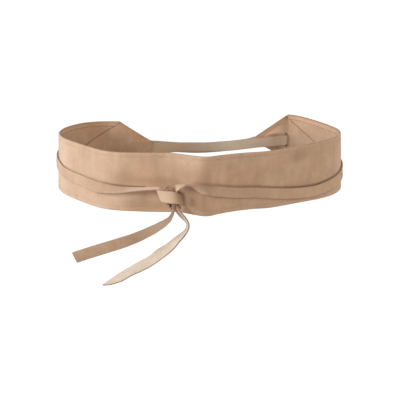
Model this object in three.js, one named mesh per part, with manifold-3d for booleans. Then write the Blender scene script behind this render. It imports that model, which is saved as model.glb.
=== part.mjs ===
// A wide suede wrap belt, tied in front and drawn together at the back.
// The band is cut flat, turned in along both rims and lined. Each tip carries
// a long flat tie: one passes through a slit in the right end, the other goes
// over the left end, and both run round the outside to a knot in front.
//
// Millimetres. X points to the right of the knot side, Y to the back, Z up.
// The origin is the middle of the waist opening, halfway up the band.

import * as THREE from 'three';
import Module from 'manifold-3d';

const wasm = await Module();
wasm.setup();

// Leather thicknesses, and the clearance between layers that lie together
const OUTER_WALL = 1.2;
const INNER_WALL = 1.0;
const TIE_WALL = 1.4;
const LAYER_GAP = 0.3;
const SEAM_GAP = 0.5; // measured along the leather, beside a slanting seam

// The band, measured flat
const BAND_HEIGHT = 56;
const HALF_BAND = BAND_HEIGHT / 2;
const HEM = 5; // the rim turned to the inside
const FOLD_BEVEL = 0.5;

// Outline of each tapered end, measured from its cut-off tip
const LEFT_OUTLINE = [
  { fromTip: 0, top: 6.2, bottom: -6.2 },
  { fromTip: 34, top: HALF_BAND, bottom: -HALF_BAND },
];
const RIGHT_OUTLINE = [
  { fromTip: 0, top: 6.9, bottom: -4.8 },
  { fromTip: 7.7, top: 11.4, bottom: -4.9 },
  { fromTip: 20, top: 18.6, bottom: -12.2 },
  { fromTip: 36, top: HALF_BAND, bottom: -HALF_BAND },
];

// Half heights of the seam where each facing runs to a point in the lining
const LEFT_SEAM = [
  { fromTip: 32, half: 26.6 },
  { fromTip: 59, half: 11.5 },
  { fromTip: 78, half: 0.3 },
];
const RIGHT_SEAM = [
  { fromTip: 33, half: 26.1 },
  { fromTip: 41.5, half: 20.6 },
  { fromTip: 49.5, half: 16.3 },
  { fromTip: 59.5, half: 12.5 },
  { fromTip: 80.5, half: 5.6 },
  { fromTip: 96, half: 0.3 },
];

// The ties
const TIE_WIDTH = 10.8;
const TIE_BEVEL = 0.3;
const TIE_GAP = 0.4; // between a tie and the band it lies on
const ROOT_LENGTH = 13; // of a tie, sewn in between wall and facing
const ROOT_BEYOND = 3; // the facing stays level past the root
const ROOT_SPREAD = 10; // over which it then comes back to the wall
const ROOT_SLOPE = 3.4; // the same beside the root
const ROOT_STRAIGHT = 3; // past the tip
const ROOT_SAG = 1.5; // wider there, and hanging lower
const ROOT_CLEAR = TIE_WIDTH / 2 + LAYER_GAP;
const RIGHT_ROOT_UP = 1.05; // middle of the right tip

// The slit that lets one tie out at the right back fold
const SLIT_CENTRE = 629.8;
const SLIT_WIDTH = 4.8;
const SLIT_HEIGHT = 11.7;
const SLIT_UP = 0.3;
const INSIDE_FROM = 664; // the tie lies inside the right end from here
const INSIDE_TO = 636;

// Layers as distances out from the middle of the wall, outwards positive
const WALL_OUT = LAYER_GAP / 2 + OUTER_WALL;
const WALL_IN = LAYER_GAP / 2;
const LINING_OUT = -LAYER_GAP / 2;
const LINING_IN = LINING_OUT - INNER_WALL;
const ROOT_MIDDLE = LINING_OUT - TIE_WALL / 2;
const ROOT_DEPTH = TIE_WALL + LAYER_GAP;

// Longest step along the band, and the most it turns in one step
const STEP = 9;
const STEP_TURN = 9;
const SHORTEST = 0.5;

// The same for a tie away from the wall, and the most steps between two rows
const AIR_STEP = 2.6;
const AIR_STEPS = 6;

// Plan of the band from the left tip round the front to the right tip.
// turn is in degrees, to the left; tuck is how far the lower rim has come
// inside the upper one at the end of the stretch, or, where it is negative,
// the upper rim inside the lower one.
const PLAN_START = { x: -49.7, y: 80, heading: 182 };
const PLAN = [
  { length: 28, turn: -10, tuck: 0 }, // left end
  { length: 16, turn: -6, tuck: 0 }, // left back
  { length: 33, turn: 57, tuck: 0 }, // left back corner
  { length: 55, turn: 52, tuck: -3 }, // left side, back
  { length: 36, turn: 26, tuck: -4 }, // left side, front
  { length: 57, turn: 9, tuck: -3 }, // left flank
  { length: 33, turn: 36, tuck: 0 }, // left front corner
  { length: 41, turn: 9, tuck: -1 }, // flat left of the crease
  { length: 15, turn: -32, tuck: 2 }, // foot of the crease
  { length: 22, turn: 5, tuck: 1 }, // rise of the crease
  { length: 12, turn: 62, tuck: 3 }, // front crease
  { length: 24, turn: -13, tuck: 7 }, // fall of the crease
  { length: 18, turn: -8, tuck: 9 }, // foot of the crease
  { length: 21, turn: 26, tuck: 6 }, // right front
  { length: 57, turn: 3, tuck: -1 }, // right flank
  { length: 47, turn: 45, tuck: -1 }, // right front corner
  { length: 22, turn: 23, tuck: 0 }, // right side
  { length: 76, turn: 14, tuck: 0 }, // right back flank
  { length: 14, turn: 26, tuck: 0 }, // right back corner
  { length: 4, turn: 48, tuck: 0 }, // fold at the slit
  { length: 34, turn: 0, tuck: 0 }, // right end
];

// The tie that lies over the left end: along the back in the air, then on
// the band. lean is how far its upper edge swings away from the wall, so a
// negative lean lifts the lower edge.
const OVER_TIE_BACK = [
  { x: 52, y: 92.4, z: -1.0 },
  { x: 30, y: 91.4, z: -3.0 },
  { x: 0, y: 90.4, z: -4.3 },
  { x: -26, y: 89.4, z: -2.5 },
  { x: -50, y: 88.4, z: -0.1 },
  { x: -72, y: 87.6, z: 0.2 },
];
const OVER_TIE_ON_BAND = [
  { at: 50, up: 0.8, lean: 0 },
  { at: 85, up: 2.6, lean: 0 },
  { at: 115, up: 2.6, lean: 0 },
  { at: 138, up: 0.6, lean: 0 },
  { at: 152, up: -1.6, lean: 0 },
  { at: 165, up: -4.4, lean: 0 },
  { at: 182, up: -5.8, lean: 0 },
  { at: 205, up: -6.2, lean: -3 },
  { at: 227, up: -6.6, lean: -20 },
  { at: 240, up: -6.6, lean: -45 },
  { at: 256, up: -6.5, lean: -66 },
  { at: 268, up: -5.6, lean: -80 },
  { at: 281, up: -4.8, lean: -90 },
];

// The tie that comes through the slit: along the back, inside the right end
// and out, then on the band.
const SLIT_TIE_BACK = [
  { x: -44.5, y: 79.7, z: -1.1, wide: 13 },
  { x: -36, y: 80.4, z: -1.0, side: [0, -0.1, 1], wide: 12 },
  { x: -14, y: 81.2, z: -0.9, side: [0, -0.35, 1] },
  { x: 8, y: 82.6, z: -1.6, side: [0, -0.35, 1] },
  { x: 30, y: 85.0, z: -1.6 },
  { x: 46, y: 87.2, z: -0.8 },
];
const SLIT_TIE_THROUGH = [
  { at: 634, up: 0.3, out: -2.3 },
  { at: 632.2, up: 0.3, out: -2.3 },
  { at: 630.9, up: 0.3, out: -1.3 },
  { at: 629.6, up: 0.3, out: 0.4 },
  { at: 628.4, up: 0.3, out: 1.9 },
  { at: 626.6, up: 0.3, out: 2.8 },
  { at: 624.4, up: 0.3, out: 2.6 },
];
const SLIT_TIE_ON_BAND = [
  { at: 620, up: 0.3, lean: 0 },
  { at: 590, up: 0.0, lean: 0 },
  { at: 560, up: -2.6, lean: 0 },
  { at: 535, up: -6.2, lean: 0 },
  { at: 515, up: -9.6, lean: 0 },
  { at: 492, up: -14.0, lean: 0 },
  { at: 474, up: -16.8, lean: 0 },
  { at: 456, up: -18.6, lean: 0 },
  { at: 440, up: -18.0, lean: 0 },
  { at: 424, up: -16.0, lean: 2 },
  { at: 396, up: -11.6, lean: 5 },
  { at: 372, up: -9.3, lean: 6 },
  { at: 354, up: -5.6, lean: 10 },
  { at: 343, up: -2.8, lean: 22 },
  { at: 335, up: -0.8, lean: 42 },
  { at: 328, up: 0.6, lean: 66 },
];

// The knot. side points from the edge that was lower on the band to the one
// that was upper. The over tie passes behind, comes round the right as the
// front wrap, folds back at the left, curls over the top and down.
const OVER_TIE_KNOT = [
  { x: -38.4, y: -83.6, z: -4.1, side: [0, 1, 0.05], wide: 8.6 },
  { x: -34, y: -83.2, z: -4.4, side: [0.1, 0.92, -0.35], wide: 7 },
  { x: -30, y: -82.7, z: -5.2, side: [0.1, 0.7, -0.65], wide: 6 },
  { x: -26, y: -82.6, z: -7.2, side: [0.1, 0.35, -0.92], wide: 6 },
  { x: -21.5, y: -83.4, z: -9.8, side: [0, 0.05, -1], wide: 7.8 },
  { x: -17.6, y: -86.2, z: -12.6, side: [0, 0, -1], wide: 9.6 },
  { x: -15.6, y: -89.2, z: -13.6, side: [0.12, 0, -0.99], wide: 11.2 },
  { x: -16.6, y: -92.1, z: -12.8, side: [0.3, 0, -0.95], wide: 11.8 },
  { x: -19.6, y: -94, z: -11, side: [0.28, -0.05, -0.96], wide: 11.8 },
  { x: -23.2, y: -94.6, z: -10, side: [0.16, -0.1, -0.98], wide: 11.6 },
  { x: -28, y: -94, z: -9.7, side: [0.1, -0.12, -1], wide: 11.4 },
  { x: -32.6, y: -92.3, z: -9.4, side: [0.22, -0.14, -0.97], wide: 11.6 },
  { x: -36, y: -90.6, z: -9.2, side: [0.33, -0.12, -0.94], wide: 11.8 },
  { x: -36.9, y: -89.5, z: -9.1, side: [0.33, -0.06, -0.94], wide: 11.6 },
  { x: -36.1, y: -88.6, z: -8.7, side: [0.36, 0, -0.93], wide: 11 },
  { x: -33.4, y: -88.7, z: -6.4, side: [0.52, 0, -0.85], wide: 8.6 },
  { x: -30.9, y: -89.1, z: -3.8, side: [0.7, 0.1, -0.7], wide: 6 },
  { x: -29.2, y: -89.6, z: -1.2, side: [0.6, 0.55, -0.55], wide: 4.6 },
  { x: -27.9, y: -89.7, z: -0.2, side: [0.35, 0.85, -0.35], wide: 4.2 },
  { x: -26.8, y: -89.8, z: -1.4, side: [0.3, 0.93, -0.1], wide: 4 },
  { x: -26.2, y: -89.8, z: -4.6, side: [0.3, 0.95, 0], wide: 3.8 },
  { x: -25.8, y: -89.6, z: -10, side: [0.25, 0.97, 0], wide: 4 },
  { x: -25.1, y: -89.0, z: -15.5, side: [0.15, 0.98, 0], wide: 5 },
];
const SLIT_TIE_KNOT = [
  { x: -12.6, y: -95.4, z: 0.9, side: [-0.38, -0.92, 0.08], wide: 10.2 },
  { x: -16.2, y: -93.4, z: 0.1, side: [-0.1, -0.98, -0.08], wide: 9.8 },
  { x: -19.3, y: -91.4, z: -1.2, side: [0.2, -0.92, -0.3], wide: 9 },
  { x: -21.6, y: -89.6, z: -3.0, side: [0.48, -0.76, -0.4], wide: 7.8 },
  { x: -22.4, y: -88.3, z: -6.2, side: [0.66, -0.74, -0.15], wide: 6 },
  { x: -22.2, y: -87.6, z: -10.4, side: [0.5, -0.86, 0], wide: 5.2 },
  { x: -22.1, y: -87.5, z: -15, side: [0.34, -0.94, 0], wide: 5.2 },
];

// The two free ends
const OVER_TIE_TAIL = [
  { x: -24.7, y: -88.8, z: -20.3, side: [0.12, 0.99, 0], wide: 7 },
  { x: -25.0, y: -89.4, z: -24.9, side: [0.2, 0.97, -0.1], wide: 9 },
  { x: -27.2, y: -90.0, z: -29.4, side: [0.3, 0.93, -0.2], wide: 10.6 },
  { x: -30.1, y: -90.3, z: -32.6, side: [0.42, 0.82, -0.4], wide: 10.8 },
  { x: -37.1, y: -90.8, z: -37.3, side: [0.46, 0.66, -0.6], wide: 10.8 },
  { x: -46.4, y: -91.4, z: -42.2, side: [0.43, 0.5, -0.76], wide: 10.8 },
  { x: -60.4, y: -92.2, z: -48.2, side: [0.36, 0.3, -0.88], wide: 10.8 },
  { x: -74.3, y: -92.9, z: -52.7, side: [0.31, 0.15, -0.94], wide: 11 },
  { x: -92.8, y: -93.6, z: -58.0, side: [0.3, 0.1, -0.95], wide: 11 },
  { x: -111.4, y: -94.2, z: -63.5, side: [0.33, 0.1, -0.94], wide: 11 },
  { x: -116.4, y: -94.4, z: -65.2, side: [0.38, 0.1, -0.92], wide: 11 },
];
const SLIT_TIE_TAIL = [
  { x: -21.6, y: -88.2, z: -19.7, side: [0.26, -0.96, 0.1], wide: 6 },
  { x: -20.4, y: -89.6, z: -23.9, side: [0.42, -0.86, 0.28], wide: 8.2 },
  { x: -17.2, y: -90.4, z: -28.0, side: [0.38, -0.88, 0.3], wide: 10.2 },
  { x: -14.2, y: -91.0, z: -31.5, side: [0.3, -0.92, 0.28], wide: 10.8 },
  { x: -11.8, y: -91.4, z: -35.1, side: [0.2, -0.96, 0.22], wide: 10.8 },
  { x: -11.5, y: -91.6, z: -38.8, side: [0.16, -0.97, 0.2], wide: 10.8 },
  { x: -13.4, y: -91.7, z: -42.6, side: [0.2, -0.97, 0.12], wide: 10.8 },
  { x: -16.6, y: -91.8, z: -46.3, side: [0.26, -0.96, 0], wide: 10.8 },
  { x: -20.9, y: -91.9, z: -50.0, side: [0.38, -0.92, -0.1], wide: 10.8 },
  { x: -28.5, y: -92.2, z: -57.3, side: [0.4, -0.82, -0.4], wide: 10.8 },
  { x: -37.9, y: -92.6, z: -63.8, side: [0.48, -0.66, -0.58], wide: 10.8 },
  { x: -47.3, y: -93.0, z: -70.6, side: [0.36, -0.76, -0.54], wide: 10.8 },
  { x: -56.7, y: -93.4, z: -75.5, side: [0.36, -0.76, -0.54], wide: 10.8 },
  { x: -66.1, y: -93.8, z: -80.1, side: [0.26, -0.87, -0.42], wide: 10.8 },
  { x: -75.5, y: -94.2, z: -85.3, side: [0.28, -0.85, -0.45], wide: 10.6 },
  { x: -84.9, y: -94.8, z: -89.7, side: [0.3, -0.85, -0.45], wide: 5.8 },
  { x: -91.6, y: -95.2, z: -92.0, side: [0.3, -0.85, -0.45], wide: 0.8 },
];

// Plan of the band

// Each stretch of the plan as an arc with its own start and end
function planArcs() {
  const arcs = [];
  let { x, y } = PLAN_START;
  let heading = THREE.MathUtils.degToRad(PLAN_START.heading);
  let from = 0;
  let tuck = 0;
  for (const stretch of PLAN) {
    const turn = THREE.MathUtils.degToRad(stretch.turn);
    const arc = { x, y, heading, from, turn, length: stretch.length, tuck, tuckEnd: stretch.tuck };
    arcs.push(arc);
    ({ x, y, heading } = alongArc(arc, stretch.length));
    from += stretch.length;
    tuck = stretch.tuck;
  }
  return arcs;
}

// Place and heading a distance into an arc
function alongArc(arc, distance) {
  const turned = arc.turn * (distance / arc.length);
  const middle = arc.heading + turned / 2;
  const chord = turned === 0 ? distance : distance * (Math.sin(turned / 2) / (turned / 2));
  return {
    x: arc.x + chord * Math.cos(middle),
    y: arc.y + chord * Math.sin(middle),
    heading: arc.heading + turned,
  };
}

const ARCS = planArcs();
const BAND_LENGTH = PLAN.reduce((sum, stretch) => sum + stretch.length, 0);
const SLIT_FROM = SLIT_CENTRE - SLIT_WIDTH / 2;
const SLIT_TO = SLIT_CENTRE + SLIT_WIDTH / 2;

// A point of the belt: distance along the band from the left tip, height
// over the band's middle, and distance out from the middle of the wall
function place(at, up, out) {
  const arc = ARCS.findLast((one) => at >= one.from) ?? ARCS[0];
  const distance = at - arc.from;
  const { x, y, heading } = alongArc(arc, distance);
  const share = THREE.MathUtils.clamp(distance / arc.length, 0, 1);
  const tuck = THREE.MathUtils.lerp(arc.tuck, arc.tuckEnd, share);
  const lowerIn = (Math.max(tuck, 0) * (HALF_BAND - up)) / BAND_HEIGHT;
  const upperIn = (Math.max(-tuck, 0) * (HALF_BAND + up)) / BAND_HEIGHT;
  const push = out - lowerIn - upperIn;
  return new THREE.Vector3(x + Math.sin(heading) * push, y - Math.cos(heading) * push, up);
}

// Distances along the band between two places, closer where it bends
function stations(from, to) {
  const low = Math.min(from, to);
  const high = Math.max(from, to);
  const list = [low];
  for (const arc of ARCS) {
    const bends = Math.abs(THREE.MathUtils.radToDeg(arc.turn)) / STEP_TURN;
    const count = Math.ceil(Math.max(arc.length / STEP, bends));
    for (let i = 0; i < count; i += 1) {
      const at = arc.from + (arc.length * i) / count;
      if (at > low + SHORTEST && at < high - SHORTEST) list.push(at);
    }
  }
  list.push(high);
  return from < to ? list : list.reverse();
}

// The same through stops in between, such as the corners of a taper
function stationsThrough(...stops) {
  return stops.slice(1).flatMap((stop, i) => stations(stops[i], stop).slice(i === 0 ? 0 : 1));
}

// A column of a table at a distance from the tip, on straight lines
function lookup(rows, fromTip, column) {
  const last = rows.length - 2;
  const i = THREE.MathUtils.clamp(rows.findLastIndex((row) => fromTip >= row.fromTip), 0, last);
  const [a, b] = [rows[i], rows[i + 1]];
  const share = THREE.MathUtils.clamp((fromTip - a.fromTip) / (b.fromTip - a.fromTip), 0, 1);
  return THREE.MathUtils.lerp(a[column], b[column], share);
}

// Top and bottom of the band at a distance along it
function bandEdges(at) {
  const [left, right] = [at, BAND_LENGTH - at];
  return [
    Math.min(lookup(LEFT_OUTLINE, left, 'top'), lookup(RIGHT_OUTLINE, right, 'top')),
    Math.max(lookup(LEFT_OUTLINE, left, 'bottom'), lookup(RIGHT_OUTLINE, right, 'bottom')),
  ];
}

// Closed shapes

// A closed solid through rings of points, capped with the outlines of its
// ends. The second half of a ring is split the other way, so that faces
// opposite each other stay parallel where the strip twists.
function loft(rings, firstOutline, lastOutline) {
  const count = firstOutline.length;
  const points = rings.flat().flatMap((point) => point.toArray());
  const faces = [];
  for (let ring = 0; ring + 1 < rings.length; ring += 1) {
    for (let i = 0; i < count; i += 1) {
      const a = ring * count + i;
      const b = ring * count + ((i + 1) % count);
      const [c, d] = [b + count, a + count];
      if (i < count / 2) faces.push(a, b, c, a, c, d);
      else faces.push(a, b, d, b, c, d);
    }
  }
  const last = (rings.length - 1) * count;
  for (const [a, b, c] of capFaces(firstOutline)) faces.push(c, b, a);
  for (const [a, b, c] of capFaces(lastOutline)) faces.push(a + last, b + last, c + last);
  const inward = signedVolume(points, faces) < 0;
  const geometry = new THREE.BufferGeometry();
  geometry.setAttribute('position', new THREE.Float32BufferAttribute(points, 3));
  geometry.setIndex(inward ? faces.reverse() : faces);
  return geometry;
}

// The triangles of an outline, turned the way the outline runs
function capFaces(outline) {
  const flat = outline.map(([across, over]) => new THREE.Vector2(across, over));
  const triangles = THREE.ShapeUtils.triangulateShape(flat, []);
  return THREE.ShapeUtils.isClockWise(flat) ? triangles.map((face) => face.reverse()) : triangles;
}

function signedVolume(points, faces) {
  let sum = 0;
  const corner = (index) => new THREE.Vector3().fromArray(points, index * 3);
  for (let i = 0; i < faces.length; i += 3) {
    const [a, b, c] = [corner(faces[i]), corner(faces[i + 1]), corner(faces[i + 2])];
    sum += a.dot(b.cross(c));
  }
  return sum;
}

// A strip of the band. outlineAt gives the section at a distance along it,
// as pairs of height and distance out.
function strip(distances, outlineAt) {
  const rings = distances.map((at) => outlineAt(at).map(([up, out]) => place(at, up, out)));
  return loft(rings, outlineAt(distances[0]), outlineAt(distances.at(-1)));
}

function solid(geometry) {
  const mesh = new wasm.Mesh({
    numProp: 3,
    vertProperties: new Float32Array(geometry.attributes.position.array),
    triVerts: new Uint32Array(geometry.index.array),
  });
  return new wasm.Manifold(mesh);
}

function cut(geometry, cutters) {
  const result = cutters.reduce((left, cutter) => left.subtract(solid(cutter)), solid(geometry));
  const mesh = result.getMesh();
  const cutGeometry = new THREE.BufferGeometry();
  cutGeometry.setAttribute('position', new THREE.BufferAttribute(mesh.vertProperties, 3));
  cutGeometry.setIndex(new THREE.BufferAttribute(mesh.triVerts, 1));
  return cutGeometry;
}

// The band's leather

// The outer wall with both rims folded over to the inside
function hemmedSection(at) {
  const [top, bottom] = bandEdges(at);
  return [
    [top - FOLD_BEVEL, WALL_OUT],
    [top, WALL_OUT - FOLD_BEVEL],
    [top, LINING_IN + FOLD_BEVEL],
    [top - FOLD_BEVEL, LINING_IN],
    [top - HEM, LINING_IN],
    [top - HEM, WALL_IN],
    [bottom + HEM, WALL_IN],
    [bottom + HEM, LINING_IN],
    [bottom + FOLD_BEVEL, LINING_IN],
    [bottom, LINING_IN + FOLD_BEVEL],
    [bottom, WALL_OUT - FOLD_BEVEL],
    [bottom + FOLD_BEVEL, WALL_OUT],
  ];
}

function liningSection() {
  const half = HALF_BAND - HEM - LAYER_GAP;
  return [
    [half, LINING_OUT],
    [-half, LINING_OUT],
    [-half, LINING_IN],
    [half, LINING_IN],
  ];
}

// The two ends, each measured from its own tip. at turns a distance from the
// tip into one along the band, and back.
const LEFT_END = {
  outline: LEFT_OUTLINE,
  seam: LEFT_SEAM,
  rootUp: 0,
  at: (fromTip) => fromTip,
};
const RIGHT_END = {
  outline: RIGHT_OUTLINE,
  seam: RIGHT_SEAM,
  rootUp: RIGHT_ROOT_UP,
  at: (fromTip) => BAND_LENGTH - fromTip,
};

function facingStations(end, before, beyond) {
  const rows = [...end.outline, ...end.seam].map((row) => row.fromTip).sort((a, b) => a - b);
  const stops = [...rows.slice(1, -1), rows.at(-1) + beyond];
  return stationsThrough(...[-before, ...stops].map((fromTip) => end.at(fromTip)));
}

// Top and bottom of a facing, a given distance from its tip
function facingEdges(end, fromTip) {
  const seam = lookup(end.seam, fromTip, 'half');
  const [top, bottom] = bandEdges(end.at(Math.max(fromTip, 0)));
  return [Math.min(top, seam), Math.max(bottom, -seam)];
}

// How far a facing is pushed in by the tie root behind it
function rootPush(end, fromTip, up) {
  const along = (ROOT_LENGTH + ROOT_BEYOND + ROOT_SPREAD - fromTip) / ROOT_SPREAD;
  const beside = (ROOT_CLEAR + ROOT_SLOPE - Math.abs(up - end.rootUp)) / ROOT_SLOPE;
  const share = THREE.MathUtils.clamp(along, 0, 1) * THREE.MathUtils.clamp(beside, 0, 1);
  return share * ROOT_DEPTH;
}

// Heights across a facing, so that it steps over the root cleanly
function facingHeights(end, fromTip) {
  const [top, bottom] = facingEdges(end, fromTip);
  const share = lookup(end.seam, fromTip, 'half') / end.seam[0].half;
  const [high, low] = [end.rootUp + ROOT_CLEAR, end.rootUp - ROOT_CLEAR];
  return [
    top,
    Math.min((high + ROOT_SLOPE) * share, (high * share + top) / 2),
    high * share,
    low * share,
    Math.max((low - ROOT_SLOPE) * share, (low * share + bottom) / 2),
    bottom,
  ];
}

function facing(end) {
  const sectionAt = (at) => {
    const fromTip = end.at(at);
    const heights = facingHeights(end, fromTip);
    const outer = heights.map((up) => [up, LINING_OUT - rootPush(end, fromTip, up)]);
    const inner = heights.map((up) => [up, LINING_IN - rootPush(end, fromTip, up)]);
    return [...outer, ...inner.reverse()];
  };
  return strip(facingStations(end, 0, 0), sectionAt);
}

// Clears the hems and the lining where a facing lies
function facingClearance(end) {
  const beyond = 3;
  const skin = 0.05; // stays clear of the wall's own inner face
  const slack = SEAM_GAP;
  const sectionAt = (at) => {
    const fromTip = end.at(at);
    const edge = fromTip <= end.seam[0].fromTip ? beyond : slack;
    const [top, bottom] = facingEdges(end, fromTip);
    return [
      [top + edge, WALL_IN - skin],
      [top + edge, LINING_IN - beyond],
      [bottom - edge, LINING_IN - beyond],
      [bottom - edge, WALL_IN - skin],
    ];
  };
  return strip(facingStations(end, 1, slack), sectionAt);
}

function slitClearance() {
  const reach = 2.9; // through every layer of the end
  const section = [
    [SLIT_UP + SLIT_HEIGHT / 2, reach],
    [SLIT_UP + SLIT_HEIGHT / 2, -reach],
    [SLIT_UP - SLIT_HEIGHT / 2, -reach],
    [SLIT_UP - SLIT_HEIGHT / 2, reach],
  ];
  return strip(stations(SLIT_FROM, SLIT_TO), () => section);
}

const liningRun = stations(LEFT_OUTLINE.at(-1).fromTip + 2, BAND_LENGTH - RIGHT_OUTLINE.at(-1).fromTip - 2);
const endClearances = [facingClearance(LEFT_END), facingClearance(RIGHT_END)];
const bandRun = stationsThrough(
  ...LEFT_OUTLINE.map((row) => row.fromTip),
  ...RIGHT_OUTLINE.map((row) => BAND_LENGTH - row.fromTip).reverse()
);
const bandOuter = cut(strip(bandRun, hemmedSection), [...endClearances, slitClearance()]);
const lining = cut(strip(liningRun, liningSection), endClearances);
const leftFacing = facing(LEFT_END);
const rightFacing = cut(facing(RIGHT_END), [slitClearance()]);

// The ties

// A value of a table between its rows, on a smooth curve
function between(rows, at, column) {
  const order = rows[0].at < rows.at(-1).at ? rows : [...rows].reverse();
  const found = order.findLastIndex((row) => at >= row.at);
  const i = THREE.MathUtils.clamp(found, 0, order.length - 2);
  const slope = (k) => {
    const a = order[Math.max(k - 1, 0)];
    const b = order[Math.min(k + 1, order.length - 1)];
    return (b[column] - a[column]) / (b.at - a.at);
  };
  const span = order[i + 1].at - order[i].at;
  const t = THREE.MathUtils.clamp((at - order[i].at) / span, 0, 1);
  const [t2, t3] = [t * t, t * t * t];
  return (
    order[i][column] * (2 * t3 - 3 * t2 + 1) +
    slope(i) * span * (t3 - 2 * t2 + t) +
    order[i + 1][column] * (3 * t2 - 2 * t3) +
    slope(i + 1) * span * (t3 - t2)
  );
}

// Stops of a tie that follow the wall at a given distance out
function wallStop(at, up, out, lean = 0) {
  const centre = place(at, up, out);
  const wallUp = place(at, up + 1, out).sub(place(at, up - 1, out)).normalize();
  const wallOut = place(at, up, out + 1).sub(centre).normalize();
  const angle = THREE.MathUtils.degToRad(lean);
  const side = wallUp.multiplyScalar(Math.cos(angle)).addScaledVector(wallOut, Math.sin(angle));
  return { centre, side, wide: TIE_WIDTH, onWall: true };
}

// Stops of a tie that lies on the outside of the band
function onBand(rows) {
  return stationsThrough(...rows.map((row) => row.at)).map((at) => {
    const lean = between(rows, at, 'lean');
    const angle = THREE.MathUtils.degToRad(Math.abs(lean));
    const reach = (TIE_WIDTH / 2) * Math.sin(angle) + (TIE_WALL / 2) * Math.cos(angle);
    return wallStop(at, between(rows, at, 'up'), WALL_OUT + TIE_GAP + reach, lean);
  });
}

// Stops of the tie that lies inside the right end, over its facing
function insideRightEnd() {
  return stations(INSIDE_FROM, INSIDE_TO).map((at) => {
    const facingIn = LINING_IN - rootPush(RIGHT_END, RIGHT_END.at(at), SLIT_UP);
    return wallStop(at, SLIT_UP, facingIn - TIE_GAP - TIE_WALL / 2);
  });
}

// Stops of a tie in the air or in the knot
function inAir(rows) {
  return rows.map(({ x, y, z, side = [0, 0, 1], wide = TIE_WIDTH }) => ({
    centre: new THREE.Vector3(x, y, z),
    side: new THREE.Vector3(...side).normalize(),
    wide,
    onWall: false,
  }));
}

// The stops of a root, sewn in at a tip and leaving straight over its cut end
function root(end) {
  const stops = [ROOT_LENGTH, ROOT_LENGTH / 2, 0, -ROOT_STRAIGHT];
  const rows = stops.map((fromTip) => wallStop(end.at(fromTip), end.rootUp, ROOT_MIDDLE));
  const last = rows.at(-1);
  last.centre = last.centre.clone().add(new THREE.Vector3(0, 0, -ROOT_SAG / 2));
  last.wide = TIE_WIDTH + ROOT_SAG;
  return rows;
}

function tieSection(wide) {
  const [across, over] = [wide / 2, TIE_WALL / 2];
  const bevel = Math.min(TIE_BEVEL, across / 2);
  return [
    [across - bevel, over],
    [across, over - bevel],
    [across, bevel - over],
    [across - bevel, -over],
    [bevel - across, -over],
    [-across, bevel - over],
    [-across, over - bevel],
    [bevel - across, over],
  ];
}

// A flat tie through its stops
function tie(stops) {
  const path = new THREE.CatmullRomCurve3(stops.map((stop) => stop.centre), false, 'centripetal');
  const spans = stops.length - 1;
  const samples = [];
  for (let i = 0; i < spans; i += 1) {
    const [a, b] = [stops[i], stops[i + 1]];
    const length = a.centre.distanceTo(b.centre);
    const steps = a.onWall && b.onWall ? 1 : Math.min(Math.ceil(length / AIR_STEP), AIR_STEPS);
    for (let k = 0; k < steps; k += 1) samples.push({ a, b, share: k / steps, t: (i + k / steps) / spans });
  }
  samples.push({ a: stops.at(-1), b: stops.at(-1), share: 0, t: 1 });
  const centres = samples.map(({ t }) => path.getPoint(t));
  const rings = samples.map(({ a, b, share }, i) => {
    const ahead = centres[Math.min(i + 1, centres.length - 1)];
    const behind = centres[Math.max(i - 1, 0)];
    const along = ahead.clone().sub(behind).normalize();
    const side = a.side.clone().lerp(b.side, share).normalize();
    const over = new THREE.Vector3().crossVectors(along, side).normalize();
    const wide = THREE.MathUtils.lerp(a.wide, b.wide, share);
    return tieSection(wide).map(([across, through]) =>
      centres[i].clone().addScaledVector(side, across).addScaledVector(over, through)
    );
  });
  return loft(rings, tieSection(stops[0].wide), tieSection(stops.at(-1).wide));
}

const overTie = tie([
  ...root(RIGHT_END),
  ...inAir(OVER_TIE_BACK),
  ...onBand(OVER_TIE_ON_BAND),
  ...inAir(OVER_TIE_KNOT),
  ...inAir(OVER_TIE_TAIL),
]);
const slitTie = tie([
  ...root(LEFT_END),
  ...inAir(SLIT_TIE_BACK),
  ...insideRightEnd(),
  ...SLIT_TIE_THROUGH.map(({ at, up, out }) => wallStop(at, up, out)),
  ...onBand(SLIT_TIE_ON_BAND),
  ...inAir(SLIT_TIE_KNOT),
  ...inAir(SLIT_TIE_TAIL),
]);

// The belt

function suede(color) {
  return new THREE.MeshStandardMaterial({ color, roughness: 0.95, metalness: 0 });
}

function piece(name, geometry, color) {
  geometry.computeVertexNormals();
  const mesh = new THREE.Mesh(geometry, suede(color));
  mesh.name = name;
  return mesh;
}

const belt = new THREE.Group();
belt.add(
  piece('band_outer', bandOuter, '#c19a78'),
  piece('lining_centre', lining, '#a5825f'),
  piece('left_end_facing', leftFacing, '#ab8767'),
  piece('right_end_facing', rightFacing, '#b38f6d'),
  piece('slit_tie', slitTie, '#c3a081'),
  piece('over_tie', overTie, '#bd9877')
);

export default belt;
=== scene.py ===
"""A wide suede wrap belt in its worn shape, on a plain pale floor in soft studio light.

Each piece is cut and sewn flat, in millimetres, as the real one is: X along the leather, Y up or
across it, Z out of it. It is then bent to its place in the worn belt, in metres.
"""

import math
from collections import namedtuple

import bpy
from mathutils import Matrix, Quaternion, Vector, noise


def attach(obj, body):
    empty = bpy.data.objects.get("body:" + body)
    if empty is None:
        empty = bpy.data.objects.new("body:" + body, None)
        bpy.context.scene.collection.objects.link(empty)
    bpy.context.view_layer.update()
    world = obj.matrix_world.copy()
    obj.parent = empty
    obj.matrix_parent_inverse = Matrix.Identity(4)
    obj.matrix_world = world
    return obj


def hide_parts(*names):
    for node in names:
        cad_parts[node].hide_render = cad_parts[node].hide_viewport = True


MM = 0.001

# Camera, at the photograph's angle
CAMERA_TARGET = Vector((0, 0, -38)) * MM
CAMERA_DISTANCE = 1050 * MM
CAMERA_ELEVATION = 15
CAMERA_ROLL = 1.2
CAMERA_LENS = 94.5
CAMERA_SENSOR = 36

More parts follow.
